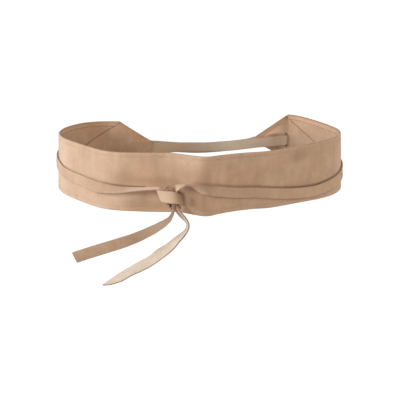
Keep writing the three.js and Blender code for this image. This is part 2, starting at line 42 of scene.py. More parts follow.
# Leather thicknesses, and the clearance between layers that lie together
OUTER_WALL = 1.2
INNER_WALL = 1.0
TIE_WALL = 1.4
LAYER_GAP = 0.3
SEAM_GAP = 0.5
WALL_OUT = LAYER_GAP / 2 + OUTER_WALL
LINING_OUT = -LAYER_GAP / 2
LINING_IN = LINING_OUT - INNER_WALL
FOLD = (WALL_OUT - LINING_IN) / 2
FOLD_MIDDLE = (WALL_OUT + LINING_IN) / 2

# How much thinner the layers are than their walls, so that sewn ones keep clear of each other
LAYER_SLACK = 0.1
LINING_SLACK = 0.15

# How far cuts are softened, the angle from which an edge is a cut, how far a tie's cut edge may turn
# to its flat sides, and the angle from which shading stays sharp
SOFT_CUT = 0.22
TIE_SOFT_CUT = 0.35
CUT_ANGLE = math.radians(55)
CUT_SLOPE = 0.4
SHARP_ANGLE = math.radians(50)

# The band, measured flat
HALF_BAND = 28
HEM = 5
STITCH_INSET = 4.2
GROOVE_DEPTH = 0.35
GROOVE_HALF = 1.0

# Waves of the leather, so that it lies like cloth: height, length along and across, and the depth
# at which the noise is read
Wave = namedtuple("Wave", "height along across depth")
SLOW_WAVE = Wave(0.3, 42, 55, 3.1)
QUICK_WAVE = Wave(0.09, 15, 21, 7.7)
RIM_WAVE = Wave(0.15, 30, 30, 12.5)

# The ties
TIE_WIDTH = 10.8
TIE_GAP = 0.4
TIE_CROWN = 0.25

# The root of a tie, sewn between the layers of its tip. ROOT_BEYOND, ROOT_SPREAD and ROOT_SLOPE say
# how the facing slopes down from it, past its end and at its sides.
ROOT_LENGTH = 13
ROOT_BEYOND = 3
ROOT_SPREAD = 10
ROOT_SLOPE = 3.4
ROOT_STRAIGHT = 3
ROOT_SAG = 1.5
ROOT_CLEAR = TIE_WIDTH / 2 + LAYER_GAP
ROOT_MIDDLE = LINING_OUT - TIE_WALL / 2
ROOT_DEPTH = TIE_WALL + LAYER_GAP
RIGHT_ROOT_UP = 1.05

# The slit that lets one tie out at the right back fold, the length of the punch that cuts it, and
# where that tie lies inside the right end
Slit = namedtuple("Slit", "start end hole")
SLIT_INNER = Slit(628.7, 632.4, 0.85)
SLIT_OUTER = Slit(627.2, 630.6, 0)
SLIT_HEIGHT = 11.3
SLIT_UP = 0.3
PUNCH_DEPTH = 12
INSIDE_FROM = 664
INSIDE_TO = 636

# Distances along a tie from its root near which other leather presses it flat, how far it stays
# quite flat, and over how long it crowns again
SLIT_TIE_PRESSED = (0, 165)
OVER_TIE_PRESSED = (0,)
PRESSED_REACH = 16
PRESSED_EASE = 10

# Darker and warmer places: how wide each is, how dark, and how far it fades. Along the inner rim
# and in the small dark spots it is painted shade.
RIM_DARK_WIDTH = 0.7
STITCH_LINE_DARK = 0.45
INNER_RIM_SHADE_WIDTH = 1.92
INNER_RIM_SHADE_FADE = 1.6
INNER_RIM_SHADE_DARK = 2.2
SEAM_WORN = 1.3
SEAM_DARK = 0.9
HEM_BEYOND = 0.6
HEM_FADE = 0.8
SHADE_SPOT_FADE = 0.8
TIE_EDGE_WORN = 0.6

# Painted contact shadow, the dark line on the band just above a tie's upper edge, and how dark it
# is along the band
ContactShade = namedtuple("ContactShade", "at strength")
CONTACT_SHADE_ABOVE = 0.4
CONTACT_SHADE_HALF = 1.7
CONTACT_SHADE_GAIN = 1.7
OVER_TIE_CONTACT_SHADE = [
    ContactShade(50, 0.15),
    ContactShade(150, 0.15),
    ContactShade(200, 0.15),
    ContactShade(232, 0.2),
    ContactShade(246, 0.75),
    ContactShade(258, 1.0),
    ContactShade(281, 0.95),
]
SLIT_TIE_CONTACT_SHADE = [
    ContactShade(328, 0.4),
    ContactShade(385, 0.5),
    ContactShade(415, 0.75),
    ContactShade(440, 1.0),
    ContactShade(470, 1.0),
    ContactShade(500, 0.6),
    ContactShade(620, 0.35),
]

# Stitches
STITCH_PITCH = 2.6
STITCH_LENGTH = 1.9
STITCH_WIDTH = 0.5
STITCH_RISE = 0.3
STITCH_MARGIN = 2.5
STITCH_PROUD = 0.08

# Steps of the leather along its length, and its rows across it
STEP = 2.6
STEP_TURN = 4
SHORTEST = 0.25
TIE_STEP = 1.6
TIE_STOP_STEP = 5
SHORTEST_SPAN = 0.01
FOLD_ROWS = 7
MIDDLE_ROWS = 38
LINING_ROWS = 13
FACING_ROWS = 28
TIE_ROWS = 9

Edge = namedtuple("Edge", "from_tip top bottom")
LEFT_OUTLINE = [Edge(0, 6.2, -6.2), Edge(34, HALF_BAND, -HALF_BAND)]
RIGHT_OUTLINE = [
    Edge(0, 6.9, -4.8),
    Edge(7.7, 11.4, -4.9),
    Edge(20, 18.6, -12.2),
    Edge(36, HALF_BAND, -HALF_BAND),
]

# Half heights of the seam where each facing runs to a point in the lining
Seam = namedtuple("Seam", "from_tip half")
LEFT_SEAM = [Seam(32, 26.6), Seam(59, 11.5), Seam(78, 0.3)]
RIGHT_SEAM = [
    Seam(33, 26.1),
    Seam(41.5, 20.6),
    Seam(49.5, 16.3),
    Seam(59.5, 12.5),
    Seam(80.5, 5.6),
    Seam(96, 0.3),
]

# The lining begins this far from each tip, where the seam leaves the hems
LINING_FROM = 39.5

# How far a facing is rounded off at its rim, and how much of the stitches' line it takes
FACING_ROUND = 0.5
FACING_PULL = 0.8

# Where each piece's leather lies along the UV map, in metres, so that no two look alike
BAND_PATCH = 0
LINING_PATCH = 1
LEFT_FACING_PATCH = 2
RIGHT_FACING_PATCH = 3
SLIT_TIE_PATCH = 4
OVER_TIE_PATCH = 5

# Plan of the band from the left tip round the front to the right tip. tuck is how far the lower rim
# has come inside the upper one at the end of a stretch, or, negative, the upper inside the lower.
PLAN_X, PLAN_Y, PLAN_HEADING = -49.7, 80, 182
Stretch = namedtuple("Stretch", "length turn tuck")
PLAN = [
    Stretch(28, -10, 0),  # left end
    Stretch(16, -6, 0),
    Stretch(33, 57, 0),  # left back corner
    Stretch(55, 52, -3),
    Stretch(36, 26, -4),
    Stretch(57, 9, -3),  # left flank
    Stretch(33, 36, 0),
    Stretch(41, 9, -1),
    Stretch(15, -32, 2),  # foot of the crease
    Stretch(22, 5, 1),
    Stretch(12, 62, 3),  # front crease
    Stretch(24, -13, 7),
    Stretch(18, -8, 9),
    Stretch(21, 26, 6),
    Stretch(57, 3, -1),  # right flank
    Stretch(47, 45, -1),
    Stretch(22, 23, 0),
    Stretch(76, 14, 0),
    Stretch(14, 26, 0),  # right back corner
    Stretch(4, 48, 0),  # fold at the slit
    Stretch(34, 0, 0),  # right end
]

# Stops of the ties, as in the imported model. lean is how far the upper edge swings away from the
# wall. side points from the edge that was lower on the band to the one that was upper.
Air = namedtuple("Air", "x y z side wide", defaults=((0, 0, 1), TIE_WIDTH))
OnBand = namedtuple("OnBand", "at up lean")
Through = namedtuple("Through", "at up out")
OVER_TIE_BACK = [
    Air(52, 92.4, -1.0),
    Air(30, 91.4, -3.0),
    Air(0, 90.4, -4.3),
    Air(-26, 89.4, -2.5),
    Air(-50, 88.4, -0.1),
    Air(-72, 87.6, 0.2),
]
OVER_TIE_ON_BAND = [
    OnBand(50, 0.8, 0),
    OnBand(85, 2.6, 0),
    OnBand(115, 2.6, 0),
    OnBand(138, 0.6, 0),
    OnBand(152, -1.6, 0),
    OnBand(165, -4.4, 0),
    OnBand(182, -5.8, 0),
    OnBand(205, -6.2, -3),
    OnBand(227, -6.6, -20),
    OnBand(240, -6.6, -45),
    OnBand(256, -6.5, -66),
    OnBand(268, -5.6, -80),
    OnBand(281, -4.8, -90),
]
SLIT_TIE_BACK = [
    Air(-44.5, 79.7, -1.1, (0, 0, 1), 13),
    Air(-36, 80.4, -1.0, (0, -0.1, 1), 12),
    Air(-14, 81.2, -0.9, (0, -0.35, 1)),
    Air(8, 82.6, -1.6, (0, -0.35, 1)),
    Air(30, 85.0, -1.6),
    Air(46, 87.2, -0.8),
]
SLIT_TIE_THROUGH = [
    Through(634, 0.3, -2.3),
    Through(632.2, 0.3, -2.3),
    Through(630.9, 0.3, -1.3),
    Through(629.6, 0.3, 0.4),
    Through(628.4, 0.3, 1.9),
    Through(626.6, 0.3, 2.8),
    Through(624.4, 0.3, 2.6),
]
SLIT_TIE_ON_BAND = [
    OnBand(620, 0.3, 0),
    OnBand(590, 0.0, 0),
    OnBand(560, -2.6, 0),
    OnBand(535, -6.2, 0),
    OnBand(515, -9.6, 0),
    OnBand(492, -14.0, 0),
    OnBand(474, -16.8, 0),
    OnBand(456, -18.6, 0),
    OnBand(440, -18.0, 0),
    OnBand(424, -16.0, 2),
    OnBand(396, -11.6, 5),
    OnBand(372, -9.3, 6),
    OnBand(354, -5.6, 10),
    OnBand(343, -2.8, 22),
    OnBand(335, -0.8, 42),
    OnBand(328, 0.6, 66),
]
OVER_TIE_KNOT = [
    Air(-38.4, -83.6, -4.1, (0, 1, 0.05), 8.6),
    Air(-34, -83.2, -4.4, (0.1, 0.92, -0.35), 7),
    Air(-30, -82.7, -5.2, (0.1, 0.7, -0.65), 6),
    Air(-26, -82.6, -7.2, (0.1, 0.35, -0.92), 6),
    Air(-21.5, -83.4, -9.8, (0, 0.05, -1), 7.8),
    Air(-17.6, -86.2, -12.6, (0, 0, -1), 9.6),
    Air(-15.6, -89.2, -13.6, (0.12, 0, -0.99), 11.2),
    Air(-16.6, -92.1, -12.8, (0.3, 0, -0.95), 11.8),
    Air(-19.6, -94, -11, (0.28, -0.05, -0.96), 11.8),
    Air(-23.2, -94.6, -10, (0.16, -0.1, -0.98), 11.6),
    Air(-28, -94, -9.7, (0.1, -0.12, -1), 11.4),
    Air(-32.6, -92.3, -9.4, (0.22, -0.14, -0.97), 11.6),
    Air(-36, -90.6, -9.2, (0.33, -0.12, -0.94), 11.8),
    Air(-36.9, -89.5, -9.1, (0.33, -0.06, -0.94), 11.6),
    Air(-36.1, -88.6, -8.7, (0.36, 0, -0.93), 11),
    Air(-33.4, -88.7, -6.4, (0.52, 0, -0.85), 8.6),
    Air(-30.9, -89.1, -3.8, (0.7, 0.1, -0.7), 6),
    Air(-29.2, -89.6, -1.2, (0.6, 0.55, -0.55), 4.6),
    Air(-27.9, -89.7, -0.2, (0.35, 0.85, -0.35), 4.2),
    Air(-26.8, -89.8, -1.4, (0.3, 0.93, -0.1), 4),
    Air(-26.2, -89.8, -4.6, (0.3, 0.95, 0), 3.8),
    Air(-25.8, -89.6, -10, (0.25, 0.97, 0), 4),
    Air(-25.1, -89.0, -15.5, (0.15, 0.98, 0), 5),
]
SLIT_TIE_KNOT = [
    Air(-12.6, -95.4, 0.9, (-0.38, -0.92, 0.08), 10.2),
    Air(-16.2, -93.4, 0.1, (-0.1, -0.98, -0.08), 9.8),
    Air(-19.3, -91.4, -1.2, (0.2, -0.92, -0.3), 9),
    Air(-21.6, -89.6, -3.0, (0.48, -0.76, -0.4), 7.8),
    Air(-22.4, -88.3, -6.2, (0.66, -0.74, -0.15), 6),
    Air(-22.2, -87.6, -10.4, (0.5, -0.86, 0), 5.2),
    Air(-22.1, -87.5, -15, (0.34, -0.94, 0), 5.2),
]
OVER_TIE_TAIL = [
    Air(-24.7, -88.8, -20.3, (0.12, 0.99, 0), 7),
    Air(-25.0, -89.4, -24.9, (0.2, 0.97, -0.1), 9),
    Air(-27.2, -90.0, -29.4, (0.3, 0.93, -0.2), 10.6),
    Air(-30.1, -90.3, -32.6, (0.42, 0.82, -0.4)),
    Air(-37.1, -90.8, -37.3, (0.46, 0.66, -0.6)),
    Air(-46.4, -91.4, -42.2, (0.43, 0.5, -0.76)),
    Air(-60.4, -92.2, -48.2, (0.36, 0.3, -0.88)),
    Air(-74.3, -92.9, -52.7, (0.31, 0.15, -0.94), 11),
    Air(-92.8, -93.6, -58.0, (0.3, 0.1, -0.95), 11),
    Air(-111.4, -94.2, -63.5, (0.33, 0.1, -0.94), 11),
    Air(-116.4, -94.4, -65.2, (0.38, 0.1, -0.92), 11),
]
SLIT_TIE_TAIL = [
    Air(-21.6, -88.2, -19.7, (0.26, -0.96, 0.1), 6),
    Air(-20.4, -89.6, -23.9, (0.42, -0.86, 0.28), 8.2),
    Air(-17.2, -90.4, -28.0, (0.38, -0.88, 0.3), 10.2),
    Air(-14.2, -91.0, -31.5, (0.3, -0.92, 0.28)),
    Air(-11.8, -91.4, -35.1, (0.2, -0.96, 0.22)),
    Air(-11.5, -91.6, -38.8, (0.16, -0.97, 0.2)),
    Air(-13.4, -91.7, -42.6, (0.2, -0.97, 0.12)),
    Air(-16.6, -91.8, -46.3, (0.26, -0.96, 0)),
    Air(-20.9, -91.9, -50.0, (0.38, -0.92, -0.1)),
    Air(-28.5, -92.2, -57.3, (0.4, -0.82, -0.4)),
    Air(-37.9, -92.6, -63.8, (0.48, -0.66, -0.58)),
    Air(-47.3, -93.0, -70.6, (0.36, -0.76, -0.54)),
    Air(-56.7, -93.4, -75.5, (0.36, -0.76, -0.54)),
    Air(-66.1, -93.8, -80.1, (0.26, -0.87, -0.42)),
    Air(-75.5, -94.2, -85.3, (0.28, -0.85, -0.45), 10.6),
    Air(-84.9, -94.8, -89.7, (0.3, -0.85, -0.45), 5.8),
    Air(-91.6, -95.2, -92.0, (0.3, -0.85, -0.45), 0.8),
]

# Colours, linear
OUTER_LIGHT = (0.66, 0.44, 0.295)
OUTER_DARK = (0.53, 0.335, 0.215)
INNER_LIGHT = (0.58, 0.385, 0.255)
INNER_DARK = (0.46, 0.29, 0.185)
HEM_WARM = (0.56, 0.31, 0.165)
REVERSE_LIGHT = (0.76, 0.63, 0.5)
REVERSE_DARK = (0.62, 0.5, 0.385)
# Dark brown of cut edges and darker rims, also used for painted shade along the inner rim and above
# the ties
CUT_EDGE_AND_SHADE = (0.17, 0.105, 0.065)
TIE_CUT_LIGHT = (0.476, 0.294, 0.182)
TIE_CUT_DARK = (0.34, 0.21, 0.13)
THREAD = (0.76, 0.56, 0.41)
THREAD_DARK = (0.608, 0.448, 0.328)
SHEEN = (1, 0.93, 0.86)
# Lighter and darker places, partly nap and partly painted light and shade
NAP_DARK_AND_PAINTED_SHADE = (0.39, 0.23, 0.138)
NAP_LIGHT_AND_PAINTED_LIGHT = (0.84, 0.62, 0.46)
# Browner places of a tie's pale side, partly painted shade
REVERSE_BROWN_AND_SHADE = (0.6, 0.41, 0.28)
SHADE = (0.035, 0.01, 0.001)

# Painted shade: small dark spots at the two ends of the slit, where the hem is clipped above it, and
# in the gaps below the knot
Hole = namedtuple("Hole", "at up size")
SLIT_SHADE_SPOTS = [
    Hole(631.4, SLIT_UP + SLIT_HEIGHT / 2, 1.9),
    Hole(631.4, SLIT_UP - SLIT_HEIGHT / 2, 1.9),
    Hole(631, 24.4, 1.2),
]
KNOT_SHADE_SPOTS = [
    Hole(301.8, -19.2, 2.2),
    Hole(303.4, -21.4, 2.3),
    Hole(305.2, -23.8, 2.0),
    Hole(310.4, -20.8, 2.0),
    Hole(312.2, -22.8, 1.7),
]

# Places that look lighter or darker, partly where the nap lies another way and partly painted light
# and shade: centre and half size on the flat leather, and how much lighter it looks there, or, with a
# minus, darker
NapAndPaintedLight = namedtuple("NapAndPaintedLight", "at up along high tone")
OUTER_NAP_AND_PAINTED_LIGHT = [
    NapAndPaintedLight(158, 0, 32, 56, 0.45),  # left side, a painted highlight
    NapAndPaintedLight(258, 2, 24, 14, -0.6),  # painted shadow above the strap left of the knot
    NapAndPaintedLight(256, -13, 26, 6, 0.9),  # painted light under it
    # painted shadow below the strap near the knot
    NapAndPaintedLight(276, -22, 26, 10, -0.6),
    NapAndPaintedLight(292, -14, 16, 8, 0.4),
    # painted shadow above the strap near the knot
    NapAndPaintedLight(292, 1, 34, 7, -0.6),
    NapAndPaintedLight(320, 7, 32, 18, -0.6),  # above the knot
    NapAndPaintedLight(338, 8, 9, 26, -0.5),
    NapAndPaintedLight(320, -12, 9, 20, 0.6),  # right of the knot, painted light and the knot's painted shadow
    NapAndPaintedLight(333.5, -14, 12, 24, -1.4),
    NapAndPaintedLight(415, 8, 18, 16, -0.25),
    # painted shadow above the strap right of the knot
    NapAndPaintedLight(432, -11, 40, 7, -0.35),
    NapAndPaintedLight(437, 19, 17, 10, -0.6),
    NapAndPaintedLight(512, 2, 32, 56, 0.5),  # right side, a painted highlight
]
INNER_NAP_AND_PAINTED_LIGHT = [
    NapAndPaintedLight(652, 2, 32, 50, 1.2),  # right tip, painted light
    NapAndPaintedLight(604, 2, 26, 34, -0.35),
    NapAndPaintedLight(643, -8, 13, 5, -1.2),  # painted shadow beside the tie, below and above it
    NapAndPaintedLight(645, 7, 16, 2.4, -0.9),
]
# Painted shade on the upper hem inside the left of the belt
HEM_PAINTED_SHADE = [NapAndPaintedLight(66, 28, 60, 12, -0.6)]
# The same along a tie from its root, on its brushed side. Its pale side is browner in places, partly
# painted shade in and below the knot.
SLIT_TIE_NAP_AND_PAINTED_LIGHT = [NapAndPaintedLight(528, 0, 16, 40, 3.0)]
SLIT_TIE_BROWN_AND_PAINTED_SHADE = [
    NapAndPaintedLight(30, 0, 60, 40, -1.1),
    NapAndPaintedLight(150, 0, 45, 40, -0.4),
    NapAndPaintedLight(484, 0, 40, 40, -2.0),  # in the knot
    # painted shade below the knot
    NapAndPaintedLight(506, 0, 22, 40, -1.5),
]
OVER_TIE_NAP_AND_PAINTED_LIGHT = [
    NapAndPaintedLight(362, 0, 38, 40, -0.4),
    # painted highlight on the strap left of the knot
    NapAndPaintedLight(418, 0, 26, 40, 0.8),
    NapAndPaintedLight(452, 0, 17, 40, -1.2),  # front of the knot, painted shade
    NapAndPaintedLight(470, 0, 16, 40, 0.3),
    NapAndPaintedLight(528, 0, 40, 40, 1.0),
]
OVER_TIE_BROWN_AND_PAINTED_SHADE = [
    # painted shade in the knot
    NapAndPaintedLight(432, 0, 45, 40, -2.0),
    NapAndPaintedLight(491, 0, 24, 40, -2.0),
]

# Noise on the leather and the thread: features per metre, detail, stretch, roughness, and how much
# it changes the tone
Pattern = namedtuple("Pattern", "scale detail stretch roughness tone", defaults=((1, 1, 1), 0.5, 0))
CLOUD_NOISE = Pattern(14, 3.0, tone=1.9)
ROSE_NOISE = Pattern(30, 3.0, tone=3.0)
PATCH_NOISE = Pattern(75, 4.0, roughness=0.6, tone=1.5)
BRUSH_NOISE = Pattern(160, 3.0, (1, 0.35, 1), tone=1.1)
NAP_NOISE = Pattern(520, 3.0, (1, 0.6, 1), tone=0.8)
GRAIN_NOISE = Pattern(1500, 3.0)
FIBRE_NOISE = Pattern(900, 2.0)

# How deep the bumps are, from which noise on a place is rosy, and how rose tints it
SUEDE_BUMP = 0.5 * MM
THREAD_BUMP = 0.2 * MM
ROSE_FROM = 0.53
ROSE_TINT = (0.95, 0.84, 0.79)

# Floor and lights, in metres and watts
FLOOR_SIZE = 40
FLOOR_UP = -0.4
FLOOR_GLOW = 1.05
SKY_GLOW = 0.36
COOL_LIGHT = (0.92, 1, 1.08)
WARM_LIGHT = (1.04, 1, 0.94)
Light = namedtuple("Light", "name place_m size power colour")
LIGHTS = [
    Light("key", (-2.4, -0.55, 0.6), 1.1, 52, COOL_LIGHT),
    Light("front", (-0.2, -2.6, 1.0), 2.4, 27, WARM_LIGHT),
    Light("fill", (2.4, -0.1, 0.7), 1.6, 18, WARM_LIGHT),
]


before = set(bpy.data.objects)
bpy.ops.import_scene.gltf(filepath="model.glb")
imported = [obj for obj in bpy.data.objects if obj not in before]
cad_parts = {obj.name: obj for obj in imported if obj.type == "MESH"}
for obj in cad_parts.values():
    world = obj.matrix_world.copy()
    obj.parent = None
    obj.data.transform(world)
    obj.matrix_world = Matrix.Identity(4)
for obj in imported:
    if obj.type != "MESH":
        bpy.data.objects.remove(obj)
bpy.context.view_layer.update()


# Camera


def add_camera():
    """The camera of the photograph, which looks at the middle of the belt."""
    data = bpy.data.cameras.new("camera")
    data.sensor_width = CAMERA_SENSOR
    data.lens = CAMERA_LENS
    camera = bpy.data.objects.new("camera", data)
    bpy.context.scene.collection.objects.link(camera)
    rise = math.radians(CAMERA_ELEVATION)
    back = Vector((0, -math.cos(rise), math.sin(rise)))
    camera.location = CAMERA_TARGET + back * CAMERA_DISTANCE
    camera.rotation_mode = "QUATERNION"
    roll = Quaternion((0, 0, 1), math.radians(-CAMERA_ROLL))
    camera.rotation_quaternion = (-back).to_track_quat("-Z", "Y") @ roll
    bpy.context.scene.camera = camera


add_camera()


# Plan of the band

Arc = namedtuple("Arc", "x y heading start length turn tuck tuck_end")


def along_arc(arc, distance):
    """Place and heading a distance into an arc."""
    turned = arc.turn * distance / arc.length
    middle = arc.heading + turned / 2
    chord = distance * math.sin(turned / 2) / (turned / 2) if turned else distance
    return arc.x + chord * math.cos(middle), arc.y + chord * math.sin(middle), arc.heading + turned


def plan_arcs():
    """The stretches of the plan, each with its place and heading."""
    arcs = []
    x, y, heading = PLAN_X, PLAN_Y, math.radians(PLAN_HEADING)
    start = tuck = 0
    for stretch in PLAN:
        arc = Arc(x, y, heading, start, stretch.length, math.radians(stretch.turn), tuck, stretch.tuck)
        arcs.append(arc)
        x, y, heading = along_arc(arc, stretch.length)
        start += stretch.length
        tuck = stretch.tuck
    return arcs


ARCS = plan_arcs()
BAND_LENGTH = sum(stretch.length for stretch in PLAN)


def clamp(value, low=0.0, high=1.0):
    return min(max(value, low), high)


def mixed(a, b, share):
    return a + (b - a) * share


def waved(wave, at, up=0.0):
    """How far a wave lifts the leather at one place."""
    where = Vector((at / wave.along, up / wave.across, wave.depth))
    return wave.height * noise.noise(where)


def place(at, up, out):
    """A point of the worn belt, in metres, from its place on the flat leather."""
    arc = next((one for one in reversed(ARCS) if at >= one.start), ARCS[0])
    x, y, heading = along_arc(arc, at - arc.start)
    tuck = mixed(arc.tuck, arc.tuck_end, clamp((at - arc.start) / arc.length))
    lower_in = max(tuck, 0) * (HALF_BAND - up) / (2 * HALF_BAND)
    upper_in = max(-tuck, 0) * (HALF_BAND + up) / (2 * HALF_BAND)
    push = out - lower_in - upper_in + waved(SLOW_WAVE, at, up) + waved(QUICK_WAVE, at, up)
    lift = waved(RIM_WAVE, at) * up / HALF_BAND
    return Vector((x + math.sin(heading) * push, y - math.cos(heading) * push, up + lift)) * MM


def stations(start, end, step=STEP):
    """Distances along the band between two places, closer where it bends."""
    low, high = min(start, end), max(start, end)
    found = [low]
    for arc in ARCS:
        count = math.ceil(max(arc.length / step, abs(math.degrees(arc.turn)) / STEP_TURN))
        for i in range(count):
            at = arc.start + arc.length * i / count
            if low + SHORTEST < at < high - SHORTEST:
                found.append(at)
    found.append(high)
    return found if start < end else found[::-1]


def stations_through(*stops):
    """Distances along the band from the first stop to the last, with every stop among them."""
    found = [stops[0]]
    for a, b in zip(stops, stops[1:]):
        found += stations(a, b)[1:]
    return found


def lookup(rows, from_tip, column):
    """A column of a table at a distance from the tip, on straight lines."""
    a, b = next(
        ((a, b) for a, b in zip(rows, rows[1:]) if from_tip < b.from_tip),
        (rows[-2], rows[-1]),
    )
    share = clamp((from_tip - a.from_tip) / (b.from_tip - a.from_tip))
    return mixed(getattr(a, column), getattr(b, column), share)


def band_edges(at):
    """Top and bottom of the band at a distance along it."""
    left, right = at, BAND_LENGTH - at
    return (
        min(lookup(LEFT_OUTLINE, left, "top"), lookup(RIGHT_OUTLINE, right, "top")),
        max(lookup(LEFT_OUTLINE, left, "bottom"), lookup(RIGHT_OUTLINE, right, "bottom")),
    )


# The two ends, each measured from its own tip

End = namedtuple("End", "outline seam root_up at")
LEFT_END = End(LEFT_OUTLINE, LEFT_SEAM, 0, lambda from_tip: from_tip)
RIGHT_END = End(RIGHT_OUTLINE, RIGHT_SEAM, RIGHT_ROOT_UP, lambda from_tip: BAND_LENGTH - from_tip)


def facing_edges(end, from_tip):
    """Top and bottom of a facing, a given distance from its tip."""
    half = lookup(end.seam, from_tip, "half")
    top, bottom = band_edges(end.at(max(from_tip, 0)))
    return min(top, half), max(bottom, -half)


def root_push(end, from_tip, up):
    """How far a facing is pushed in by the tie root behind it."""
    along = (ROOT_LENGTH + ROOT_BEYOND + ROOT_SPREAD - from_tip) / ROOT_SPREAD
    beside = (ROOT_CLEAR + ROOT_SLOPE - abs(up - end.root_up)) / ROOT_SLOPE
    return clamp(along) * clamp(beside) * ROOT_DEPTH


# Cutting, sewing and bending


def only(piece):
    """Selects one object alone and makes it the active one."""
    bpy.ops.object.select_all(action="DESELECT")
    piece.select_set(True)
    bpy.context.view_layer.objects.active = piece


def modified(piece, kind, **settings):
    """The piece with one modifier applied."""
    only(piece)
    modifier = piece.modifiers.new(kind.lower(), kind)
    for name, value in settings.items():
        setattr(modifier, name, value)
    bpy.ops.object.modifier_apply(modifier=modifier.name)
    return piece


def joined(name, pieces):
    """The pieces as one, with one name."""
    only(pieces[0])
    for piece in pieces:
        piece.select_set(True)
    if len(pieces) > 1:
        bpy.ops.object.join()
    pieces[0].name = pieces[0].data.name = name
    return pieces[0]


def flat_sheet(name, columns, row_count, point):
    """A grid of leather. point gives the place of a row at a distance along it."""
    bpy.ops.object.select_all(action="DESELECT")
    across = row_count - 1
    along = len(columns) - 1
    bpy.ops.mesh.primitive_grid_add(x_subdivisions=along, y_subdivisions=across, size=1)
    sheet = bpy.context.active_object
    sheet.name = sheet.data.name = name
    for vertex in sheet.data.vertices:
        column = round((vertex.co.x + 0.5) * along)
        row = round((vertex.co.y + 0.5) * across)
        at = columns[column]
        vertex.co = (at, *point(at, row))
    return sheet


def cut_away(piece, lines, unwanted):
    """Cuts the flat piece along lines and deletes the faces whose centre is unwanted."""
    only(piece)
    for (x, y), (x2, y2) in lines:
        bpy.ops.object.mode_set(mode="EDIT")
        bpy.ops.mesh.select_all(action="SELECT")
        across = Vector((y2 - y, x - x2, 0)).normalized()
        bpy.ops.mesh.bisect(plane_co=(x, y, 0), plane_no=across)
        bpy.ops.object.mode_set(mode="OBJECT")
    bpy.ops.object.mode_set(mode="EDIT")
    bpy.ops.mesh.select_mode(type="FACE")
    bpy.ops.mesh.select_all(action="DESELECT")
    bpy.ops.object.mode_set(mode="OBJECT")
    for face in piece.data.polygons:
        face.select = unwanted(face.center)
    bpy.ops.object.mode_set(mode="EDIT")
    bpy.ops.mesh.delete(type="FACE")
    bpy.ops.object.mode_set(mode="OBJECT")
    return piece


def turned_over(piece):
    """Makes the flat sheet face the other way."""
    only(piece)
    bpy.ops.object.mode_set(mode="EDIT")
    bpy.ops.mesh.select_all(action="SELECT")
    bpy.ops.mesh.flip_normals()
    bpy.ops.object.mode_set(mode="OBJECT")
    return piece


def thickened(piece, thickness, soft=SOFT_CUT):
    """Gives the flat sheet its thickness, away from the side that it faces, and softens its cuts."""
    modified(piece, "SOLIDIFY", thickness=thickness, offset=-1)
    cuts = {"limit_method": "ANGLE", "angle_limit": CUT_ANGLE}
    return modified(piece, "BEVEL", width=soft, segments=2, **cuts)


def slit_punch(slit):
    """The punches that open a layer at the slit: the cut, and a small round hole at each end of it."""
    centre = (slit.start + slit.end) / 2
    bpy.ops.mesh.primitive_cube_add(size=1, location=(centre, SLIT_UP, 0))
    bpy.ops.transform.resize(value=(slit.end - slit.start, SLIT_HEIGHT, PUNCH_DEPTH))
    parts = [bpy.context.active_object]
    for side in (-1, 1):
        if slit.hole:
            bpy.ops.mesh.primitive_cylinder_add(
                vertices=16,
                radius=slit.hole,
                depth=PUNCH_DEPTH + 1,
                location=(slit.end - slit.hole, SLIT_UP + side * SLIT_HEIGHT / 2, 0),
            )
            parts.append(bpy.context.active_object)
    for part in parts:
        only(part)
        bpy.ops.object.transform_apply(location=True, rotation=True, scale=True)
    return parts


def punched(piece, slit):
    """The layer with the slit cut into it."""
    for punch in slit_punch(slit):
        modified(piece, "BOOLEAN", operation="DIFFERENCE", solver="EXACT", object=punch)
        bpy.data.objects.remove(punch)
    return piece


def mapped(piece, patch):
    """Lays the flat leather out as the piece's own UV map, in metres, on its own patch."""
    layer = piece.data.uv_layers.active or piece.data.uv_layers.new(name="leather")
    layer.name = "leather"
    for loop in piece.data.loops:
        x, y, _ = piece.data.vertices[loop.vertex_index].co
        layer.data[loop.index].uv = (x * MM + patch, y * MM)
    return piece


def marked(piece, name, amount):
    """Writes a value for each place on the flat leather, which a finish reads."""
    marks = piece.data.attributes.new(name, "FLOAT", "POINT")
    marks.data.foreach_set("value", [amount(*vertex.co) for vertex in piece.data.vertices])
    return piece


def bent(piece, put):
    """Bends the flat piece to its place in the worn belt."""
    for vertex in piece.data.vertices:
        vertex.co = put(*vertex.co)
    piece.data.update()
    only(piece)
    bpy.ops.object.shade_smooth_by_angle(angle=SHARP_ANGLE)
    return piece


def settled(piece, finishes, slot, *nodes):
    """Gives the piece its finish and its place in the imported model."""
    for finish in finishes:
        piece.data.materials.append(finish)
    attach(piece, "root")
    if nodes:
        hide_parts(*nodes)
    return piece


# Finishes

# Sockets of a mix node that are for colours, by number because their names repeat
MIX_SHARE, MIX_A, MIX_B = 0, 6, 7
MIX_COLOUR = 2


class Signal:
    """A socket whose value varies over a surface, in Python arithmetic."""

    def __init__(self, tree, socket):
        self.tree = tree
        self.socket = socket

    def maths(self, operation, other, swapped=False):
        pair = (other, self) if swapped else (self, other)
        return added(self.tree, "ShaderNodeMath", {"operation": operation}, {0: pair[0], 1: pair[1]})

    def __add__(self, other):
        return self.maths("ADD", other)

    def __radd__(self, other):
        return self.maths("ADD", other, True)

    def __sub__(self, other):
        return self.maths("SUBTRACT", other)

    def __rsub__(self, other):
        return self.maths("SUBTRACT", other, True)

    def __mul__(self, other):
        return self.maths("MULTIPLY", other)

    def __rmul__(self, other):
        return self.maths("MULTIPLY", other, True)


